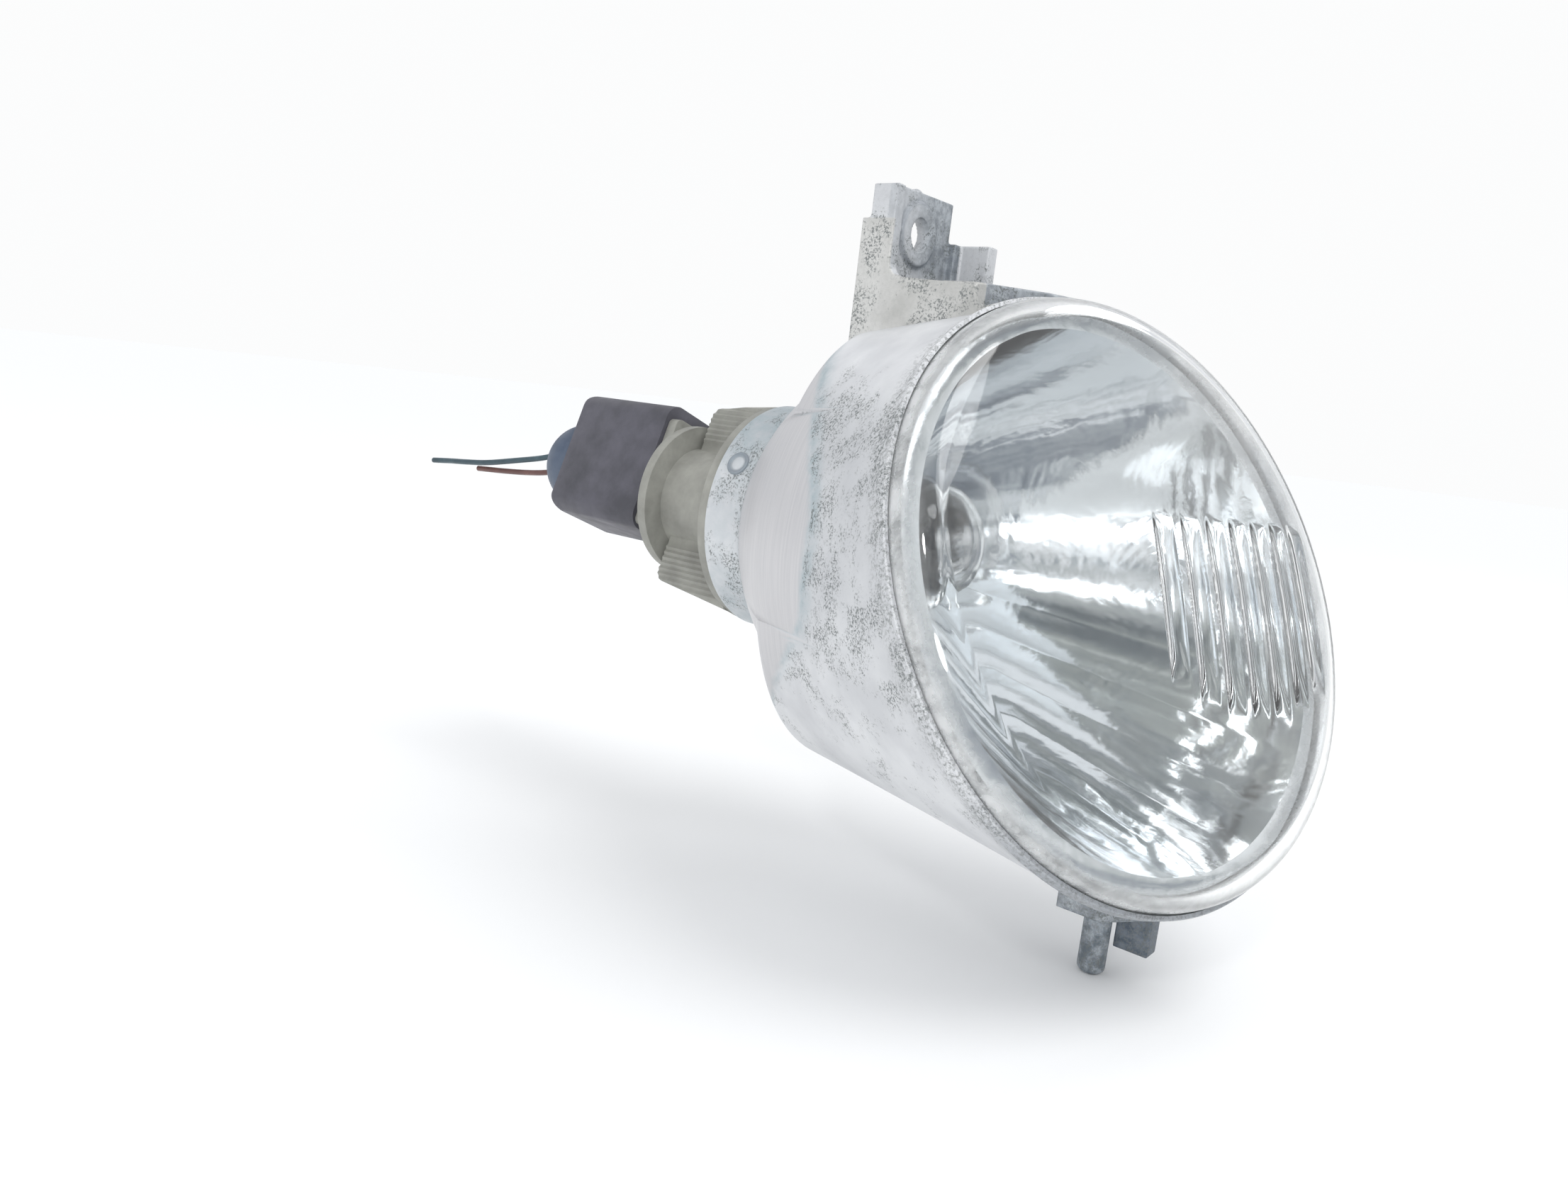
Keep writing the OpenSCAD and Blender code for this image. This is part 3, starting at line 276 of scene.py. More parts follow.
def holder_to_frame(points):
    """Points in the turned bulb holder's own frame to the CAD frame in metres."""
    p = np.asarray(points, float)
    c, s = math.cos(HOLDER_TURN), math.sin(HOLDER_TURN)
    x, z = p[..., 0] * c + p[..., 2] * s, -p[..., 0] * s + p[..., 2] * c
    return to_frame(np.stack([x, p[..., 1], z], -1))


U_DIR = np.array([math.cos(SWEEP), -math.sin(SWEEP), 0.0])
N_DIR = np.array([
    -math.sin(SWEEP) * math.cos(TILT),
    -math.cos(SWEEP) * math.cos(TILT),
    math.sin(TILT),
])
W_DIR = np.cross(N_DIR, U_DIR)


def at_seat(x, y, h):
    """A point by its place across, up and out of the lens seat."""
    x, y, h = np.broadcast_arrays(np.asarray(x, float), y, h)
    return SEAT + x[..., None] * U_DIR + y[..., None] * W_DIR + h[..., None] * N_DIR


def circle(count):
    """Angles of a ring of points."""
    return np.linspace(0, 2 * math.pi, count, endpoint=False)


def axis_ring(angles, r, y, z=0.0):
    """A ring of points about the bulb axis, or about a line z above it."""
    return np.stack([r * np.cos(angles), np.full_like(angles, y), z + r * np.sin(angles)], -1)


def lens_ring(angles, r, h):
    """A ring of points about the lens's own axis, in the CAD frame."""
    return to_frame(at_seat(r * np.cos(angles), r * np.sin(angles), np.full_like(angles, h)))


def ease(value, low, high):
    """A smooth step from 0 at low to 1 at high."""
    t = np.clip((value - low) / (high - low), 0, 1)
    return t * t * (3 - 2 * t)


def linked(name, data):
    """A new object in the scene."""
    made = bpy.data.objects.new(name, data)
    bpy.context.scene.collection.objects.link(made)
    return made


def make_camera():
    a, e, roll = CAMERA_AZIMUTH, CAMERA_ELEVATION, CAMERA_ROLL
    back = Vector((math.sin(a) * math.cos(e), -math.cos(a) * math.cos(e), math.sin(e)))
    right = (-back).cross(Vector((0, 0, 1))).normalized()
    up = right.cross(-back)
    rolled_right = right * math.cos(roll) + up * math.sin(roll)
    rolled_up = up * math.cos(roll) - right * math.sin(roll)
    data = bpy.data.cameras.new("camera")
    data.sensor_width = SENSOR
    data.lens = SENSOR * FOCAL_PIXELS / PHOTO_WIDTH
    data.clip_start = 0.005
    data.clip_end = 20
    camera = linked("camera", data)
    turn = Matrix((rolled_right, rolled_up, back)).transposed().to_4x4()
    camera.matrix_world = Matrix.Translation(Vector(to_frame(CAMERA_AT))) @ turn
    bpy.context.scene.camera = camera


# Node helpers for the materials and the world
def rgba(colour):
    """A grey value or a colour as a socket takes it."""
    grey = isinstance(colour, (int, float))
    return (colour, colour, colour, 1) if grey else (*colour, 1)


class Tree:
    """A node tree with short calls for what the finishes need."""

    def __init__(self, tree, place):
        self.tree = tree
        self.place = tree.nodes.new("ShaderNodeTexCoord").outputs[place]

    def feed(self, node, socket, value):
        if isinstance(value, bpy.types.NodeSocket):
            self.tree.links.new(value, node.inputs[socket])
        else:
            node.inputs[socket].default_value = value

    def stretched(self, scale):
        node = self.tree.nodes.new("ShaderNodeMapping")
        self.feed(node, "Vector", self.place)
        self.feed(node, "Scale", scale)
        return node.outputs["Vector"]

    def noise(self, scale, detail, rough, vector=None, distortion=0.0):
        node = self.tree.nodes.new("ShaderNodeTexNoise")
        self.feed(node, "Vector", vector or self.place)
        self.feed(node, "Scale", scale)
        self.feed(node, "Detail", detail)
        self.feed(node, "Roughness", rough)
        self.feed(node, "Distortion", distortion)
        return node.outputs["Fac"]

    def ramp(self, value, *stops):
        """Stops are (place, grey) or (place, colour)."""
        node = self.tree.nodes.new("ShaderNodeValToRGB")
        self.feed(node, "Fac", value)
        points = node.color_ramp.elements
        for i, (at, colour) in enumerate(stops):
            point = points[i] if i < 2 else points.new(at)
            point.position = at
            point.color = rgba(colour)
        return node.outputs["Color"]

    def step(self, value, low, high, start=0.0, end=1.0):
        """From start where value is low to end where it is high."""
        return self.ramp(value, (low, start), (high, end))

    def math(self, kind, a, b):
        node = self.tree.nodes.new("ShaderNodeMath")
        node.operation = kind
        self.feed(node, 0, a)
        self.feed(node, 1, b)
        return node.outputs[0]

    def times(self, a, b):
        return self.math("MULTIPLY", a, b)

    def mix(self, factor, a, b):
        """From a to b, each a grey value, a colour or a socket."""
        node = self.tree.nodes.new("ShaderNodeMix")
        node.data_type = "RGBA"
        self.feed(node, "Factor", factor)
        for socket, value in ((node.inputs[6], a), (node.inputs[7], b)):
            if isinstance(value, bpy.types.NodeSocket):
                self.tree.links.new(value, socket)
            else:
                socket.default_value = rgba(value)
        return node.outputs[2]

    def mask(self, name):
        node = self.tree.nodes.new("ShaderNodeAttribute")
        node.attribute_name = name
        return node.outputs["Fac"]

    def height(self):
        node = self.tree.nodes.new("ShaderNodeSeparateXYZ")
        self.feed(node, "Vector", self.place)
        return node.outputs["Z"]


class Nodes(Tree):
    """A material: its tree and its shader."""

    def __init__(self, name):
        self.material = bpy.data.materials.new(name)
        self.material.use_nodes = True
        super().__init__(self.material.node_tree, "Object")
        self.shader = self.tree.nodes["Principled BSDF"]

    def set(self, **values):
        for key, value in values.items():
            self.shader.inputs[key.replace("_", " ")].default_value = value

    def link(self, output, name):
        self.tree.links.new(output, self.shader.inputs[name])

    def bump(self, height, distance, strength, under=None):
        """Bump by distance in metres, over an earlier bump where there is one."""
        node = self.tree.nodes.new("ShaderNodeBump")
        self.feed(node, "Height", height)
        self.feed(node, "Distance", distance)
        self.feed(node, "Strength", strength)
        if under is not None:
            self.feed(node, "Normal", under)
        self.link(node.outputs["Normal"], "Normal")
        return node.outputs["Normal"]


def cast_alloy():
    """Worn die-cast alloy: turned on the dome, pale and speckled elsewhere, and dull where its
    masks say so; its masks also paint shade on the rim, the crease and the brackets."""
    n = Nodes("cast_alloy")
    turned, speck = n.mask("turned"), n.mask("speck")
    rings = n.noise(1.0, 4, 0.7, n.stretched((60, 2600, 60)))
    clouds = n.noise(70, 4, 0.6)
    fine = n.noise(2300, 4, 0.8)
    grain = n.noise(3200, 2, 0.6)

    clusters = n.step(n.math("ADD", n.noise(130, 5, 0.75), n.times(speck, 0.12)), 0.55, 0.66)
    pits = n.step(n.math("ADD", fine, n.times(clusters, 0.06)), 0.57, 0.61)
    spots = n.times(n.times(clusters, pits), n.step(speck, 0.0, 0.3))
    crease_shade_and_tint = n.times(n.mask("tint_and_shade"), n.step(n.noise(330, 4, 0.7), 0.30, 0.62, start=0.25))
    soot = n.times(n.mask("edge"), n.step(n.noise(1500, 4, 0.8), 0.47, 0.62))

    dome = n.mix(n.step(rings, 0.35, 0.65), *DOME_TONES)
    skirt = n.mix(n.step(clouds, 0.36, 0.64), *SKIRT_TONES)
    sand = n.mix(n.step(clouds, 0.40, 0.60), *SAND_TONES)
    blue_grey = n.mix(n.step(n.noise(420, 4, 0.7), 0.42, 0.60), *BLUE_GREY_TONES)
    base = n.mix(turned, skirt, dome)
    for layer, over in (
        (n.times(speck, 0.40), SPECKED),
        (n.mask("warm"), sand),
        # blue-grey: painted shade on the top bracket's front faces, and the lower bracket's tone
        (n.mask("blue"), blue_grey),
        # dark: painted shade on the lower rim and in the plate's corner, and darker marks
        (n.times(n.mask("dark"), 0.85), DARK_MARK_AND_SHADE),
        # painted shade along the crease, and a blue-grey tint
        (n.times(crease_shade_and_tint, 0.85), TINT_AND_CREASE_SHADE),
        (n.times(soot, 0.85), SOOT),
        (n.times(spots, 0.9), PITTED),
    ):
        base = n.mix(layer, base, over)
    n.link(base, "Base Color")
    n.set(Metallic=0.25)
    n.link(n.mix(spots, n.mix(turned, 0.50, 0.38), 0.80), "Roughness")
    height = n.math("SUBTRACT", n.times(grain, 0.4), n.times(spots, 1.2))
    flat = n.bump(height, 0.00008, 0.4)
    n.bump(n.times(rings, turned), 0.00002, 0.5, flat)
    return n.material


def clear_plastic():
    """Clear lens, milky round its side wall."""
    n = Nodes("clear_plastic")
    n.set(Base_Color=(0.97, 0.985, 0.99, 1), IOR=1.5)
    side = n.times(n.mask("side"), n.step(n.noise(160, 4, 0.7), 0.36, 0.60, start=0.35))
    n.link(n.math("SUBTRACT", 1.0, n.times(side, 0.55)), "Transmission Weight")
    n.link(n.math("ADD", 0.02, n.times(side, 0.35)), "Roughness")
    n.bump(n.noise(900, 3, 0.6), 0.00001, 0.15)
    return n.material


def bright_metal():
    """The reflector's vacuum-coated face, slightly wavy."""
    n = Nodes("bright_metal")
    n.set(Base_Color=(0.88, 0.90, 0.92, 1), Metallic=1.0, Roughness=0.10)
    flat = n.bump(n.noise(60, 3, 0.55, distortion=0.6), 0.0006, 0.45)
    n.bump(n.noise(420, 3, 0.6), 0.00004, 0.5, flat)
    return n.material


def plastic(name, dark, light, roughness, scale=700, depth=0.00004, metallic=0.0):
    """A clouded, finely grained finish between two tones."""
    n = Nodes(name)
    n.link(n.mix(n.step(n.noise(110, 4, 0.6), 0.35, 0.65), dark, light), "Base Color")
    rough = n.step(n.noise(260, 3, 0.6), 0.3, 0.7, roughness - 0.08, roughness + 0.08)
    n.link(rough, "Roughness")
    n.set(Metallic=metallic)
    n.bump(n.noise(scale, 4, 0.65), depth, 0.5)
    return n.material


def metal(name, dark, light, roughness):
    return plastic(name, dark, light, roughness, scale=1800, depth=0.00002, metallic=1.0)


def glass(name, colour, roughness=0.0):
    n = Nodes(name)
    n.set(Base_Color=rgba(colour), Roughness=roughness, IOR=1.45, Transmission_Weight=1.0)
    return n.material


# Mesh helpers
def shade(mesh, smooth):
    for polygon in mesh.polygons:
        polygon.use_smooth = smooth


def sharpen(made, degrees):
    made.data.set_sharp_from_angle(angle=math.radians(degrees))


def dress(made, material):
    made.data.materials.clear()
    made.data.materials.append(material)


def new_object(name, points, faces, material, smooth=True):
    mesh = bpy.data.meshes.new(name)
    mesh.from_pydata([tuple(p) for p in points], [], faces)
    mesh.validate()
    shade(mesh, smooth)
    if material:
        mesh.materials.append(material)
    return linked(name, mesh)


def ring_quads(rings, n, closed=False):
    """Quads between successive rings of n points; closed joins the last ring to the first."""
    faces = []
    for k in range(rings if closed else rings - 1):
        a, b = k * n, ((k + 1) % rings) * n
        faces += [(a + i, a + (i + 1) % n, b + (i + 1) % n, b + i) for i in range(n)]
    return faces


def fix_normals(made):
    bm = bmesh.new()
    bm.from_mesh(made.data)
    bmesh.ops.recalc_face_normals(bm, faces=bm.faces)
    bm.to_mesh(made.data)
    bm.free()


def loft(name, rings, material=None, closed=True):
    """A surface through rings of equal counts of points, in metres: the last ring joins the
    first, or both ends get a cap."""
    n, count = len(rings[0]), len(rings)
    faces = ring_quads(count, n, closed)
    if not closed:
        faces += [tuple(range(n - 1, -1, -1)), tuple(range((count - 1) * n, count * n))]
    made = new_object(name, np.concatenate(rings), faces, material)
    fix_normals(made)
    return made


def prism(name, outline, low, high, place):
    """An outline of (a, b) points run from low to high; place turns (a, b, t) into points."""
    a, b = np.array(outline, float).T
    return loft(name, [place(a, b, low), place(a, b, high)], closed=False)


def along_x(a, b, t):
    return to_frame(np.stack([np.full_like(a, t), a, b], -1))


def along_y(a, b, t):
    return to_frame(np.stack([a, np.full_like(a, t), b], -1))


def along_z(a, b, t):
    return to_frame(np.stack([a, b, np.full_like(a, t)], -1))


def out_of_seat(a, b, t):
    return to_frame(at_seat(a, b, t))


def rectangle(a0, a1, b0, b1):
    return [(a0, b0), (a1, b0), (a1, b1), (a0, b1)]


def box_piece(name, x0, x1, y0, y1, z0, z1):
    return prism(name, rectangle(y0, y1, z0, z1), x0, x1, along_x)


def disc_piece(name, x, z, y0, y1, radius, count=64):
    t = circle(count)
    outline = list(zip(x + radius * np.cos(t), z + radius * np.sin(t)))
    return prism(name, outline, y0, y1, along_y)


def lens_turned(name, r0, r1, h0, h1, count=128):
    """A rectangle of radius and height turned about the lens's own axis."""
    t = circle(count)
    return loft(name, [lens_ring(t, r, h) for r, h in rectangle(r0, r1, h0, h1)])


def arc(x, y, r, start, end, steps=8):
    t = np.radians(np.linspace(start, end, steps + 1))
    return list(zip(x + r * np.cos(t), y + r * np.sin(t)))


def apply_modifiers(made):
    graph = bpy.context.evaluated_depsgraph_get()
    graph.update()
    mesh = bpy.data.meshes.new_from_object(made.evaluated_get(graph))
    made.modifiers.clear()
    made.data = mesh


def cut(made, *cutters):
    for cutter in cutters:
        change = made.modifiers.new("cut", "BOOLEAN")
        change.operation = "DIFFERENCE"
        change.solver = "EXACT"
        change.object = cutter
    apply_modifiers(made)
    for cutter in cutters:
        bpy.data.objects.remove(cutter)
    return made


def joined(name, objects, material):
    """One object of several, which it takes the place of."""
    bm = bmesh.new()
    for o in objects:
        bm.from_mesh(o.data)
        bpy.data.objects.remove(o)
    mesh = bpy.data.meshes.new(name)
    bm.to_mesh(mesh)
    bm.free()
    mesh.materials.append(material)
    return linked(name, mesh)


def vertex_places(made):
    """A piece's vertices about the bulb axis, in millimetres."""
    co = np.zeros(len(made.data.vertices) * 3)
    made.data.vertices.foreach_get("co", co)
    return co.reshape(-1, 3) / MM + HOLE


def put_mask(made, name, values):
    attribute = made.data.attributes.new(name, "FLOAT", "POINT")
    attribute.data.foreach_set("value", np.clip(values, 0, 1).astype(np.float32))


def finish_piece(made, body, node):
    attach(made, body)
    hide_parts(node)


# Wires
def smooth_path(path, steps=6):
    """A smooth curve through the points of a path."""
    p = np.array(path, float)
    last = len(p) - 1
    made = []
    for i in range(last):
        a, b, c, d = p[max(i - 1, 0)], p[i], p[i + 1], p[min(i + 2, last)]
        for t in np.linspace(0, 1, steps, endpoint=False):
            made.append(0.5 * (2 * b + (c - a) * t + (2 * a - 5 * b + 4 * c - d) * t ** 2
                + (3 * b - a - 3 * c + d) * t ** 3))
    return np.array(made + [p[-1]])


def make_wire(name, path, material):
    points = holder_to_frame(smooth_path(path))
    curve = bpy.data.curves.new(name, "CURVE")
    curve.dimensions = "3D"
    curve.bevel_depth = WIRE_R * MM
    curve.bevel_resolution = 5
    curve.use_fill_caps = True
    spline = curve.splines.new("POLY")
    spline.points.add(len(points) - 1)
    for point, place in zip(spline.points, points):
        point.co = (*place, 1)
    curve.materials.append(material)
    wire = linked(name + "_cord", curve)
    finish_piece(wire, "connector", name)


# Housing: the dome's profile is an arc from the neck to DOME_R, about (DOME_CR, DOME_CY), which
# lies ARC_OFF from the middle of its chord
ARC_DR = DOME_R - NECK_R
ARC_DY = DOME_DEPTH - NECK_LEN
ARC_HALF = math.hypot(ARC_DR, ARC_DY) / 2
ARC_OFF = math.sqrt(DOME_ARC_R ** 2 - ARC_HALF ** 2)
DOME_CR = (NECK_R + DOME_R) / 2 - ARC_OFF * ARC_DY / (2 * ARC_HALF)
DOME_CY = -(NECK_LEN + DOME_DEPTH) / 2 - ARC_OFF * ARC_DR / (2 * ARC_HALF)


def dome_rad(y, d):
    return DOME_CR + np.sqrt(np.maximum(0, (DOME_ARC_R - d) ** 2 - (y - DOME_CY) ** 2))


def dome_y(r, d):
    return DOME_CY + math.sqrt((DOME_ARC_R - d) ** 2 - (r - DOME_CR) ** 2)


def bend(t, start, corner, end):
    """A rounding between two points, drawn towards a corner."""
    return (1 - t) ** 2 * start + 2 * t * (1 - t) * corner + t * t * end


def skirt_line(a, t, d, seat_r, seat_h):
    """One ruled line of the skirt: -1 on the axis, 0 to 1 over the rounding, 2 at the seat."""
    e = np.array([
        (SKIRT_HALF_W - d) * math.cos(a),
        -SKIRT_BACK - d,
        SKIRT_MID + (SKIRT_HALF_H - d) * math.sin(a),
    ])
    middle = np.array([0, e[1], SKIRT_MID])
    axis = np.array([0, e[1], 0])
    f = at_seat(seat_r * math.cos(a), seat_r * math.sin(a), seat_h)
    p = e + unit(middle - e) * SKIRT_ROUND
    q = e + unit(f - e) * SKIRT_ROUND
    if t < 0:
        return axis + (p - axis) * (1 + t)
    if t < 1:
        return bend(t, p, e, q)
    return q + (f - q) * (t - 1)


def crossing(a, d, seat_r, seat_h, halvings=30):
    """Where a ruled line of the skirt comes out of the dome."""
    low, high = -1.0, 2.0
    for _ in range(halvings):
        mid = (low + high) / 2
        p = skirt_line(a, mid, d, seat_r, seat_h)
        if math.hypot(p[0], p[2]) > dome_rad(p[1], d):
            high = mid
        else:
            low = mid
    return (low + high) / 2


def shell_column(a, d, seat_r, seat_h, y0, dome_steps=40, skirt_steps=60):
    """One line of points from y0 over the dome and the skirt to the seat, with its angle."""
    t = crossing(a, d, seat_r, seat_h)
    c = skirt_line(a, t, d, seat_r, seat_h)
    g = math.atan2(c[2], c[0])
    y = np.linspace(y0, c[1], dome_steps)
    r = dome_rad(y, d)
    dome = np.stack([r * math.cos(g), y, r * math.sin(g)], -1)
    skirt = [skirt_line(a, t + (2 - t) * k / skirt_steps, d, seat_r, seat_h)
        for k in range(1, skirt_steps + 1)]
    return g, np.concatenate([dome, skirt])


def shell_piece(material, count=288, fillet_steps=5):
    """Neck, dome, skirt and rim channel as one closed casting, its finishes by vertex masks."""
    angles = circle(count)

    def columns(d, end, y0):
        made = [shell_column(a, d, *end, y0) for a in angles]
        return np.array([g for g, _ in made]), np.array([c for _, c in made])

    start = -NECK_LEN - FILLET_AHEAD
    g, outer = columns(0, SKIRT_END, start)
    h, inner = columns(SHELL_T, LINING_END, dome_y(CHAMBER_R, SHELL_T))
    fillet = (np.array([NECK_R, -NECK_LEN + FILLET_BACK]), np.array([NECK_R, -NECK_LEN]),
        np.array([dome_rad(start, 0), start]))
    profile = list(NECK_PROFILE)
    profile += [bend(k, *fillet) for k in np.linspace(0, 1, fillet_steps, endpoint=False)]
    rings = [to_frame(axis_ring(g, r, y)) for r, y in profile]
    rings += [to_frame(outer[:, j]) for j in range(outer.shape[1])]
    rim = len(rings)
    rings += [lens_ring(angles, r, z) for r, z in RIM_PROFILE]
    inside = len(rings)
    rings += [to_frame(inner[:, j]) for j in range(inner.shape[1] - 1, -1, -1)]
    rings += [to_frame(axis_ring(h, r, y)) for r, y in (
        (CHAMBER_R, -FLANGE_T), (NECK_BORE_R, -FLANGE_T), (NECK_BORE_R, 0))]
    made = loft("housing_shell", rings, material)
    sharpen(made, 38)
    for edge in made.data.edges:
        if all(v // count == rim - 1 for v in edge.vertices):
            edge.use_edge_sharp = True
    paint_shell(made, np.arange(len(made.data.vertices)) // count < inside)
    finish_piece(made, "housing", "housing")


def paint_shell(made, seen):
    """Masks for the shell's finishes and painted shade; seen marks the vertices of its outer side.
    """
    place = vertex_places(made)
    y, z = place[:, 1], place[:, 2]
    seat = (place - SEAT) @ N_DIR
    past = np.interp(z, TURNED_Z, TURNED_Y) - y
    neck = ease(y, *NECK_FADE)
    joint = ease(np.abs(y + NECK_LEN + 0.5), *JOINT_FADE)
    outside = seen * ease(past, *SKIRT_FADE)
    put_mask(made, "turned", seen * ease(past, *TURNED_FADE) * (1 - neck))
    # Blue-grey: painted shade along the crease where the turned dome meets the skirt, a wider band
    # beside it on the skirt that fades out below the middle, and a tint over the neck, deeper at
    # its top and bottom.
    put_mask(made, "tint_and_shade", outside * ease(past, *CREASE_SKIRT) * ease(z, -32, 0)
        + seen * ease(np.abs(past), *CREASE_FADE) * 0.7 * (1 - neck)
        + neck * (0.35 + 0.6 * ease(z, 6, 19) + 0.35 * ease(z, -6, -18)))
    put_mask(made, "edge", outside * ease(seat, *RIM_SOOT))
    # Painted shade on the lower part of the rim, and a darker top to the neck.
    put_mask(made, "dark", outside * ease(seat, *RIM_SHADE) * 0.6 * ease(z, -22, -44)
        + 0.22 * neck * ease(z, 5, 19))
    put_mask(made, "speck", outside * (0.25 + 0.75 * ease(z, *SPECK_LOW)) * ease(z, *SPECK_TOP)
        + 0.8 * seen * joint + 0.25 * neck)


def core_piece(count=96, steps=12):
    """The space inside the wall that the brackets stay out of."""
    rings = [to_frame([skirt_line(a, t, SHELL_T - ROOT_COVER, *CORE_END) for a in circle(count)])
        for t in [k / steps for k in range(steps + 1)] + [2]]
    return loft("core", rings, closed=False)


def rim_tools(name):
    """What keeps a piece behind the rim's front and out of the lens channel."""
    ahead = prism(name + "_ahead", rectangle(-80, 80, -80, 80), -0.8, 60, out_of_seat)
    inside = lens_turned(name + "_inside", 0.01, RIM_R - 0.5, CHANNEL_LOW - 1.4, 5)
    return ahead, inside


def top_bracket_pieces():
    """Near cheek with its leg, front plate with boss and nub, inboard cheek and the webs."""
    out, front, back = -BRACKET_OUT, -PLATE_FRONT, -PLATE_FRONT + PLATE_T
    boss, x, z = front - BOSS_H, HOLE[0], HOLE[2]
    cheek = [(-CHEEK_BACK, LEG_ROOT), (-CHEEK_BACK, CHEEK_STEP_Z), (-CHEEK_STEP, CHEEK_STEP_Z),
        (-CHEEK_STEP, PLATE_TOP), (boss, PLATE_TOP)]
    cheek += arc(boss - CROOK_R, LEG_TOP + CROOK_R, CROOK_R, 0, -90)
    cheek += [(-LEG_FRONT + 1.4, LEG_TOP - 0.9), (-LEG_FRONT, LEG_TOP - 5.3),
        (-LEG_FRONT + 0.8, LEG_BOTTOM), (-LEG_FRONT + 8, LEG_ROOT)]
    slope = [(-LEG_FRONT + 6, SLOPE_ROOT), (-LEG_FRONT + 6, LEG_TOP - 3),
        (-LEG_FRONT, LEG_TOP - 4.4), (SLOPE_END_Y, RIM_R - 5.2), (SLOPE_END_Y, SLOPE_ROOT)]
    around = lens_turned("around", RIM_R + 1.5, RIM_R + 60, -60, 5)
    return [
        prism("cheek", cheek, out, out + CHEEK_T, along_x),
        box_piece("plate", out + 1, PLATE_IN, front, back, LEG_BOTTOM, PLATE_TOP),
        disc_piece("boss", x, z, boss, front + 0.5, BOSS_R),
        box_piece("nub", x - NUB_W, x, front + 0.4, back - 0.4, PLATE_TOP - NUB_H,
            PLATE_TOP + NUB_H),
        box_piece("inner", INNER_FACE - INNER_T, INNER_FACE, -INNER_FRONT, -CHEEK_BACK,
            INNER_ROOT, INNER_TOP),
        box_piece("root", PLATE_IN - 0.5, INNER_FACE - 2, front - 2, back, INNER_ROOT, INNER_TOP),
        box_piece("web", out + 1.5, INNER_FACE - 1, -LEG_FRONT + 4, -CHEEK_BACK - 1.2,
            WEB_ROOT, WEB_TOP),
        cut(prism("slope", slope, out + 1, INNER_FACE - 1, along_x), *rim_tools("slope"), around),
        cut(prism("wedge", WEDGE_PLAN, SLOPE_ROOT, WEDGE_TOP, along_z), *rim_tools("wedge")),
    ]


def lower_bracket_pieces(count=48):
    """Block, locating peg and lug."""
    y0, y1 = -BLOCK_MID - BLOCK_HALF, -BLOCK_MID + BLOCK_HALF
    block = [(-BLOCK_OUT, y1), (-BLOCK_OUT, y0), (PEG_X - 0.5, y0 - BLOCK_LEAD),
        (BLOCK_IN, y0 - BLOCK_LEAD), (BLOCK_IN, y1)]
    t = circle(count)
    tip = -BLOCK_LOW - PEG_LEN
    peg = [along_z(PEG_X + r * np.cos(t), -BLOCK_MID + r * np.sin(t), z) for z, r in (
        (-BLOCK_LOW + 1, PEG_R), (tip + PEG_POINT, PEG_R), (tip, PEG_R - PEG_POINT))]
    return [
        prism("block", block, -BLOCK_LOW, -SKIRT_BOTTOM, along_z),
        loft("peg", peg, closed=False),
        box_piece("lug", LUG_X - LUG_W / 2, LUG_X + LUG_W / 2, y0 - LUG_D + LUG_LAP, y0 + LUG_LAP,
            -BLOCK_LOW - LUG_LEN, -SKIRT_BOTTOM - 1),
    ]


def bracket(name, pieces, material, bore=None):
    """Pieces merged into one casting with softened edges, outside the shell's inner space."""
    made = joined(name, [cut(piece, core_piece()) for piece in pieces], material)
    remesh = made.modifiers.new("remesh", "REMESH")
    remesh.mode = "VOXEL"
    remesh.voxel_size = VOXEL * MM
    remesh.use_smooth_shade = True
    apply_modifiers(made)
    if bore:
        cut(made, bore)
    soften = made.modifiers.new("soften", "SMOOTH")
    soften.factor = 0.5
    soften.iterations = 2
    apply_modifiers(made)
    paint_bracket(made)
    finish_piece(made, "housing", "housing")


def paint_bracket(made):
    """Masks for both brackets: by its parts for the top one, by height for the lower one."""
    x, y, z = vertex_places(made).T
    top = z > LEG_BOTTOM - 6
    cheek_in = -BRACKET_OUT + CHEEK_T + 0.3
    outer = x < np.where(z < LEG_TOP + 0.4, cheek_in, -BRACKET_OUT + 0.4)
    warm = top & outer & (z < CHEEK_STEP_Z)
    plate = (x < PLATE_IN + 1) & (z > LEG_TOP) & (y < -PLATE_FRONT + 1)
    web = (y < -36) & (x > cheek_in)
    # Painted shade in the corner where the plate meets the inboard cheek.
    corner = (x > PLATE_IN - 0.8) & (x < PLATE_IN + 1.2) & (y < -PLATE_FRONT) & top
    from_hole = np.hypot(x - HOLE[0], z - HOLE[2])
    groove = plate * ease(np.abs(from_hole - BOSS_R - 0.1), *GROOVE_FADE) * ~warm
    # Blue-grey painted shade on the plate's front face, deeper inboard, and on the web, slope and
    # wedge inboard of the cheek; the lower bracket is blue-grey, darker below the block.
    blue = np.where(plate, 0.3 + 0.45 * ease(x, -7, 5), 0.0) * ease(z, LEG_TOP - 1, LEG_TOP + 4)
    blue = np.where(web, 0.7, blue)
    low = np.where(y < -70, 0.75 + 0.25 * ease(z, -BLOCK_LOW + 1.0, -BLOCK_LOW - 0.5), 0.0)
    lug = ease(x, PEG_X + 2.2, PEG_X + 2.6) * (z < -BLOCK_LOW)
    put_mask(made, "warm", np.where(warm, 1.0, 0.0))
    put_mask(made, "blue", np.where(top & ~warm, blue, 0.0) + low * (~top))
    put_mask(made, "dark", lug + 0.45 * groove + 0.35 * corner)
    put_mask(made, "speck", np.where(top, 0.75 + 0.25 * ease(z, LEG_TOP + 5, LEG_TOP), 1.0))
    put_mask(made, "edge", np.where(top, 0.15, 0.8))


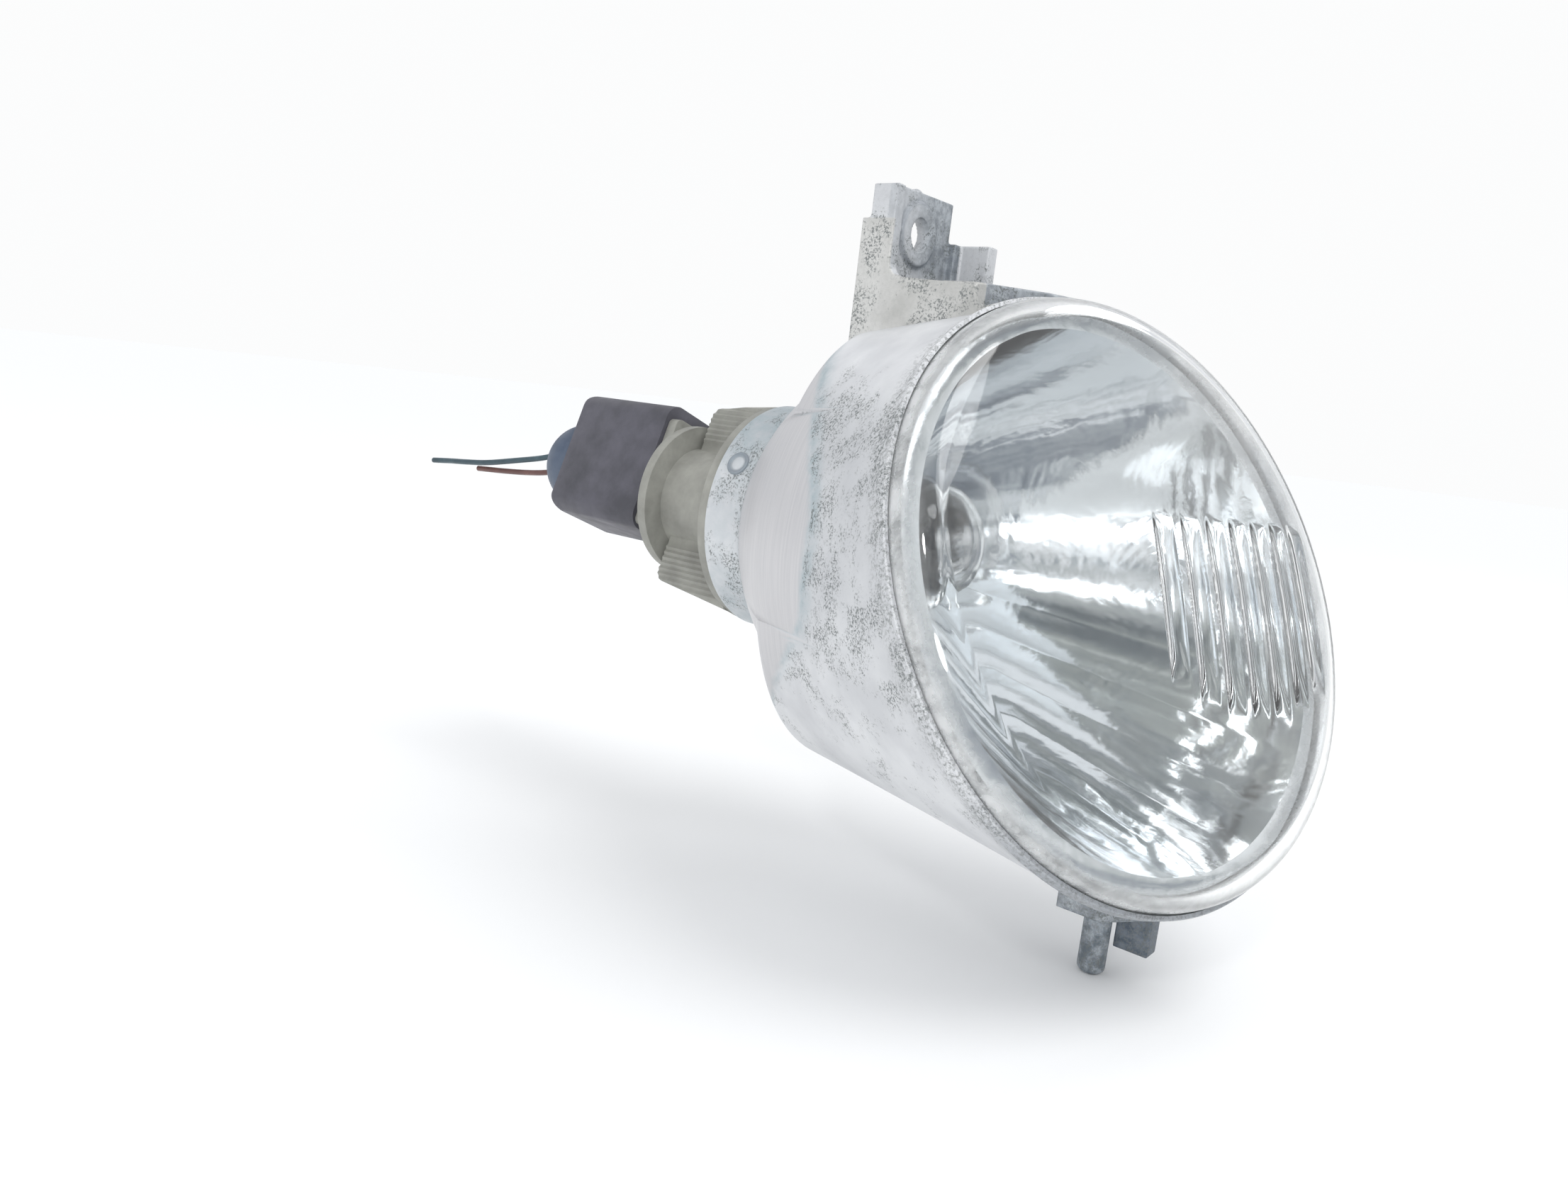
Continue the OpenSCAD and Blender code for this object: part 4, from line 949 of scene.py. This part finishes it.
def neck_mark(material, count=48):
    """The plain raised ring on the neck."""
    out = np.array([math.sin(MARK_TURN), 0, math.cos(MARK_TURN)])
    side = np.array([out[2], 0, -out[0]])
    t = circle(count)
    rings = []
    for r, h, _ in MARK_PROFILE:
        flat = np.outer(r * np.cos(t), side) + np.outer(r * np.sin(t), (0, 1, 0))
        rings.append(to_frame(flat + out * h + np.array([0, MARK_Y, 0])))
    made = loft("neck_mark", rings, material, closed=False)
    sharpen(made, 60)
    put_mask(made, "dark", np.repeat([dark for _, _, dark in MARK_PROFILE], count))
    put_mask(made, "tint_and_shade", np.full(len(made.data.vertices), 0.4))
    finish_piece(made, "housing", "housing")


def make_housing(material):
    shell_piece(material)
    bore = disc_piece("bore", HOLE[0], HOLE[2], -PLATE_FRONT - 3, -PLATE_FRONT + PLATE_T + 2,
        HOLE_R)
    bracket("top_bracket", top_bracket_pieces(), material, bore)
    bracket("lower_bracket", lower_bracket_pieces(), material)
    neck_mark(material)


# Lens: a shallow dome of radius LENS_ARC about height LENS_C, and a shoulder round it
LENS_A = LENS_R - LENS_SHOULDER
LENS_TOP = LENS_SIDE + LENS_SHOULDER + LENS_RISE
LENS_Q = LENS_SIDE - LENS_TOP
LENS_ARC = (LENS_A ** 2 + LENS_Q ** 2 - LENS_SHOULDER ** 2) / (
    2 * (LENS_TOP - LENS_SIDE - LENS_SHOULDER))
LENS_C = LENS_TOP - LENS_ARC
MILKY_FADE = (LENS_SIDE + 4.0, LENS_SIDE + 0.3)


def lens_profile(d, dome_steps, shoulder_steps=14):
    """From the foot up the side, round the shoulder and over the front to the centre."""
    meet = math.atan2(LENS_SIDE - LENS_C, LENS_A)
    points = [(LENS_R - d, -FOOT_IN), (LENS_R - d, LENS_SIDE)]
    for k in range(1, shoulder_steps + 1):
        a = meet * k / shoulder_steps
        points.append((LENS_A + (LENS_SHOULDER - d) * math.cos(a),
            LENS_SIDE + (LENS_SHOULDER - d) * math.sin(a)))
    for k in range(1, dome_steps):
        a = meet + (math.pi / 2 - meet) * k / dome_steps
        points.append(((LENS_ARC - d) * math.cos(a), LENS_C + (LENS_ARC - d) * math.sin(a)))
    return points


def flute_height(x, y):
    """How far the upright flutes stand in from the lens's inner face."""
    best = np.zeros_like(x)
    reach = LENS_A - FLUTE_R
    for i in range(FLUTE_COUNT):
        top_x = FLUTE_FIRST + i * FLUTE_PITCH
        low = FLUTE_LOW - FLUTE_BOW * (top_x - FLUTE_LOWEST_X) ** 2
        a = np.array([top_x, min(FLUTE_TOP, math.sqrt(reach ** 2 - top_x ** 2))])
        b = np.array([top_x - FLUTE_LEAN * (a[1] + low), -low])
        v = b - a
        t = np.clip(((x - a[0]) * v[0] + (y - a[1]) * v[1]) / (v @ v), 0, 1)
        d2 = (x - a[0] - t * v[0]) ** 2 + (y - a[1] - t * v[1]) ** 2
        length = math.hypot(*v)
        fade = ease(t * length, 0, FLUTE_FADE_TOP) * ease(length - t * length, 0, FLUTE_FADE_LOW)
        best = np.maximum(best, FLUTE_RISE * fade * np.sqrt(np.maximum(0, FLUTE_R ** 2 - d2)))
    return best


def make_lens(material, n=512, dome_steps=24, inner_steps=110):
    """Outer and inner face as rings of n points, joined at the foot and closed at the centre."""
    t = circle(n)
    rings = [lens_ring(t, r, h) for r, h in lens_profile(0, dome_steps)]
    outer = len(rings)
    for r, h in lens_profile(LENS_WALL, inner_steps):
        x, y = r * np.cos(t), r * np.sin(t)
        rings.append(to_frame(at_seat(x, y, h - flute_height(x, y))))
    at_centre = flute_height(np.zeros(1), np.zeros(1))[0]
    ends = to_frame(at_seat(np.zeros(2), np.zeros(2),
        np.array([LENS_TOP, LENS_TOP - LENS_WALL - at_centre])))
    foot_in = outer * n
    faces = ring_quads(outer, n)
    faces += [tuple(i + foot_in for i in f) for f in ring_quads(len(rings) - outer, n)]
    faces += [(i, foot_in + i, foot_in + (i + 1) % n, (i + 1) % n) for i in range(n)]
    top_out, top_in, centre = (outer - 1) * n, (len(rings) - 1) * n, len(rings) * n
    faces += [(top_out + i, top_out + (i + 1) % n, centre) for i in range(n)]
    faces += [(top_in + (i + 1) % n, top_in + i, centre + 1) for i in range(n)]
    made = new_object("clear_lens", np.concatenate(rings + [ends]), faces, material)
    fix_normals(made)
    put_mask(made, "side", ease((vertex_places(made) - SEAT) @ N_DIR, *MILKY_FADE))
    finish_piece(made, "housing", "lens")


# Reflector
def make_reflector(material, count=528, steps=64):
    t = circle(count)
    lap_r = LEDGE_R + REFL_LAP
    rim_in = lap_r - REFL_RIM

    def bowl(s, back, rim_r, rim_h):
        """A ring of the bowl, from its hole where s is 0 to its rim where s is 1."""
        p = axis_ring(t, REFL_HOLE, -back)
        q = at_seat(rim_r * np.cos(t), rim_r * np.sin(t), np.full_like(t, rim_h))
        return to_frame(p + (q - p) * np.array([s, s ** REFL_CURVE, s]))

    def scallops(s):
        """Radial flutes pressed into the lower half of the bowl, cusped between them."""
        wave = 1 - np.abs(np.cos(SCALLOP_COUNT / 2 * t))
        fade = ease(s, *SCALLOP_BACK) * ease(s, *SCALLOP_FRONT)
        lower = ease(np.sin(t), *SCALLOP_BELOW)
        return (N_DIR * (SCALLOP_DEPTH * fade * lower * wave)[:, None]) * MM

    rings = [bowl(j / steps, REFL_BACK - REFL_T, rim_in + REFL_T, -LEDGE_T) for j in range(steps)]
    rings += [lens_ring(t, r, h) for r, h in (
        (rim_in + REFL_T, -LEDGE_T), (lap_r, -LEDGE_T), (lap_r, 0))]
    rings += [bowl(j / steps, REFL_BACK, rim_in, 0) + scallops(j / steps)
        for j in range(steps, -1, -1)]
    made = loft("bright_reflector", rings, material)
    sharpen(made, 40)
    finish_piece(made, "housing", "reflector")


# Pieces that keep their CAD solid: with rounded edges, or as it is
def rounded_copy(name, node, body, material, radius):
    """A copy of a node's solid with rounded edges; body is also its slot's name."""
    made = linked(name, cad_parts[node].data.copy())
    dress(made, material)
    bm = bmesh.new()
    bm.from_mesh(made.data)
    bmesh.ops.remove_doubles(bm, verts=bm.verts, dist=0.00001)
    bmesh.ops.dissolve_limit(bm, angle_limit=math.radians(2), verts=bm.verts, edges=bm.edges)
    bm.to_mesh(made.data)
    bm.free()
    shade(made.data, True)
    bevel = made.modifiers.new("bevel", "BEVEL")
    bevel.width = radius * MM
    bevel.segments = 2
    bevel.limit_method = "ANGLE"
    bevel.angle_limit = math.radians(35)
    bevel.use_clamp_overlap = True
    apply_modifiers(made)
    sharpen(made, 40)
    finish_piece(made, body, node)


def finish_node(node, material):
    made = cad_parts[node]
    dress(made, material)


def make_bulb_glass(material, count=96, steps=40):
    """The bulb's envelope as an outer skin and an inner one turned inside out."""
    rise = GLASS_NECK_Y - GLASS_Y
    meet = math.atan2(rise, GLASS_NECK_R) - math.acos(GLASS_R / math.hypot(GLASS_NECK_R, rise))
    skins = []
    for d in (0, GLASS_T):
        r, end = GLASS_R - d, GLASS_END - 2 * d
        side = [(max(r * math.cos(a), NEAR_AXIS), GLASS_Y + r * math.sin(a))
            for a in np.linspace(-math.pi / 2, meet, steps)]
        side += [(GLASS_NECK_R - d, GLASS_NECK_Y), (GLASS_NECK_R - d, end), (NEAR_AXIS, end)]
        rings = [holder_to_frame(axis_ring(circle(count), *point)) for point in side]
        skins.append(loft("glass_skin", rings, closed=False))
    skins[1].data.flip_normals()
    made = joined("bulb_envelope", skins, material)
    shade(made.data, True)
    sharpen(made, 50)
    finish_piece(made, "bulb", "bulb_glass")


def make_boot(material, count=128, steps=24):
    """Rubber seal at the connector's rear: a straight band and a domed end."""
    y1 = SHELL_BACK + BOOT_LEN
    ball = (BOOT_R ** 2 + BOOT_RISE ** 2) / (2 * BOOT_RISE)
    end = math.asin(BOOT_R / ball)
    profile = [(NEAR_AXIS, SHELL_BACK + 0.02), (BOOT_R - 0.2, SHELL_BACK + 0.02),
        (BOOT_R, SHELL_BACK + 0.2), (BOOT_R, y1 - 0.3)]
    profile += [(ball * math.sin(a), y1 + BOOT_RISE - ball + ball * math.cos(a))
        for a in np.linspace(end * 0.985, 0.002, steps)]
    rings = [holder_to_frame(axis_ring(circle(count), r, y, CONN_Z)) for r, y in profile]
    made = loft("rubber_boot", rings, material, closed=False)
    sharpen(made, 50)
    finish_piece(made, "connector", "connector_seal")


# Stage: a plain pale floor and soft lights
def make_world():
    """Near white to the eye. Paths that bounced off something glossy see a studio with dark
    flags, darker still for those that left the lens again out of the bowl."""
    world = bpy.data.worlds.new("world")
    bpy.context.scene.world = world
    world.use_nodes = True
    t = Tree(world.node_tree, "Generated")
    path = t.tree.nodes.new("ShaderNodeLightPath").outputs

    def past(count, name):
        return t.math("GREATER_THAN", path[name], count)

    height = t.height()
    blotches = t.noise(2.2, 5, 0.62, distortion=1.1)
    bowl = t.mix(t.step(height, 0.55, 0.80), t.ramp(blotches, *FLAGS), t.ramp(blotches, *OVERHEAD))
    pale = t.mix(t.step(blotches, 0.42, 0.58), PALE_FLAG, WHITE)
    room = t.mix(t.step(height, 0.45, 0.85), pale, WHITE)
    studio = t.mix(past(3.5, "Transmission Depth"), room, bowl)
    undiffused = t.math("LESS_THAN", path["Diffuse Depth"], 0.5)
    seen_through = t.times(past(0.5, "Transmission Depth"), undiffused)
    seen = t.math("MAXIMUM", path["Is Camera Ray"], seen_through)
    colour = t.mix(past(0.5, "Glossy Depth"), t.mix(seen, SURROUND, BACKDROP), studio)
    t.tree.links.new(colour, t.tree.nodes["Background"].inputs["Color"])


def light(name, kind, energy, offset):
    """A light that shines from the side of offset."""
    data = bpy.data.lights.new(name, kind)
    data.energy = energy
    lamp = linked(name, data)
    lamp.rotation_euler = (-Vector(offset)).to_track_quat("-Z", "Y").to_euler()
    return lamp


def make_stage():
    bpy.context.scene.view_settings.view_transform = "Standard"
    n = Nodes("pale_floor")
    n.set(Base_Color=(0.92, 0.925, 0.925, 1), Roughness=1.0, Specular_IOR_Level=0.0)
    corners = rectangle(-FLOOR_HALF, FLOOR_HALF, -FLOOR_HALF, FLOOR_HALF)
    floor = new_object("floor", [(x, y, 0) for x, y in corners], [(0, 1, 2, 3)], n.material,
        smooth=False)
    floor.location.z = cad_low.z
    make_world()
    light("key", "SUN", SUN_POWER, SUN_FROM).data.angle = SUN_ANGLE
    middle = (cad_low + cad_high) / 2
    for name, offset, size, power in LAMPS:
        lamp = light(name, "AREA", power, offset)
        lamp.data.shape = "DISK"
        lamp.data.size = size
        lamp.location = middle + Vector(offset)


# Plain finishes: maker, dark tone, light tone and roughness
FINISHES = {
    "wire_blue": (plastic, (0.02, 0.045, 0.06), (0.05, 0.09, 0.11), 0.35),
    "wire_brown": (plastic, (0.09, 0.035, 0.03), (0.14, 0.06, 0.05), 0.35),
    "sealant": (plastic, (0.09, 0.10, 0.10), (0.18, 0.19, 0.19), 0.6),
    "holder_plastic": (plastic, (0.21, 0.21, 0.19), (0.315, 0.315, 0.285), 0.5),
    "holder_rubber": (plastic, (0.02, 0.02, 0.02), (0.04, 0.04, 0.04), 0.7),
    "connector_plastic": (plastic, (0.052, 0.052, 0.064), (0.092, 0.09, 0.112), 0.5),
    "boot_rubber": (plastic, (0.04, 0.058, 0.098), (0.082, 0.108, 0.155), 0.5),
    "phenolic": (plastic, (0.08, 0.035, 0.02), (0.13, 0.06, 0.03), 0.45),
    "black_glass": (plastic, (0.01, 0.01, 0.012), (0.02, 0.02, 0.022), 0.15),
    "brass": (metal, (0.55, 0.38, 0.14), (0.72, 0.52, 0.24), 0.35),
    "tinned": (metal, (0.55, 0.52, 0.45), (0.70, 0.67, 0.60), 0.35),
    "spring_steel": (metal, (0.40, 0.40, 0.40), (0.60, 0.60, 0.60), 0.3),
    "solder": (metal, (0.50, 0.51, 0.52), (0.66, 0.67, 0.68), 0.4),
    "support_wire": (metal, (0.30, 0.30, 0.31), (0.45, 0.45, 0.46), 0.35),
    "tungsten": (metal, (0.18, 0.18, 0.19), (0.30, 0.30, 0.31), 0.4),
}
finishes = {name: make(name, *look) for name, (make, *look) in FINISHES.items()}
finishes["stem_glass"] = glass("stem_glass", (0.90, 0.93, 0.93), 0.05)

make_camera()
make_wire("wire_upper", UPPER_PATH, finishes["wire_blue"])
make_wire("wire_lower", LOWER_PATH, finishes["wire_brown"])
make_housing(cast_alloy())
make_lens(clear_plastic())
make_reflector(bright_metal())
rounded_copy("holder_moulding", "holder_body", "holder", finishes["holder_plastic"], 0.25)
make_bulb_glass(glass("bulb_glass", (0.98, 0.98, 0.98)))
rounded_copy("connector_cover", "connector_shell", "connector", finishes["connector_plastic"], 0.3)
make_boot(finishes["boot_rubber"])

# Nodes that show as their CAD solids: slot and finish
for node, slot, finish in (
    ("lens_sealant", "sealant", "sealant"),
    ("holder_seal", "holder_seal", "holder_rubber"),
    ("bayonet_sleeve", "brass", "brass"),
    ("contact_insulator", "phenolic", "phenolic"),
    ("live_terminal", "tinned_brass", "tinned"),
    ("earth_terminal", "tinned_brass", "tinned"),
    ("contact_spring", "spring_steel", "spring_steel"),
    ("plunger_disc", "phenolic", "phenolic"),
    ("contact_button", "brass", "brass"),
    ("bulb_cap", "brass", "brass"),
    ("bulb_pins", "brass", "brass"),
    ("bulb_insulator", "black_glass", "black_glass"),
    ("bulb_tip", "solder", "solder"),
    ("bulb_stem", "stem_glass", "stem_glass"),
    ("filament_supports", "tungsten", "support_wire"),
    ("filament", "tungsten", "tungsten"),
    ("live_receptacle", "tinned_brass", "tinned"),
    ("earth_receptacle", "tinned_brass", "tinned"),
):
    finish_node(node, finishes[finish])

make_stage()
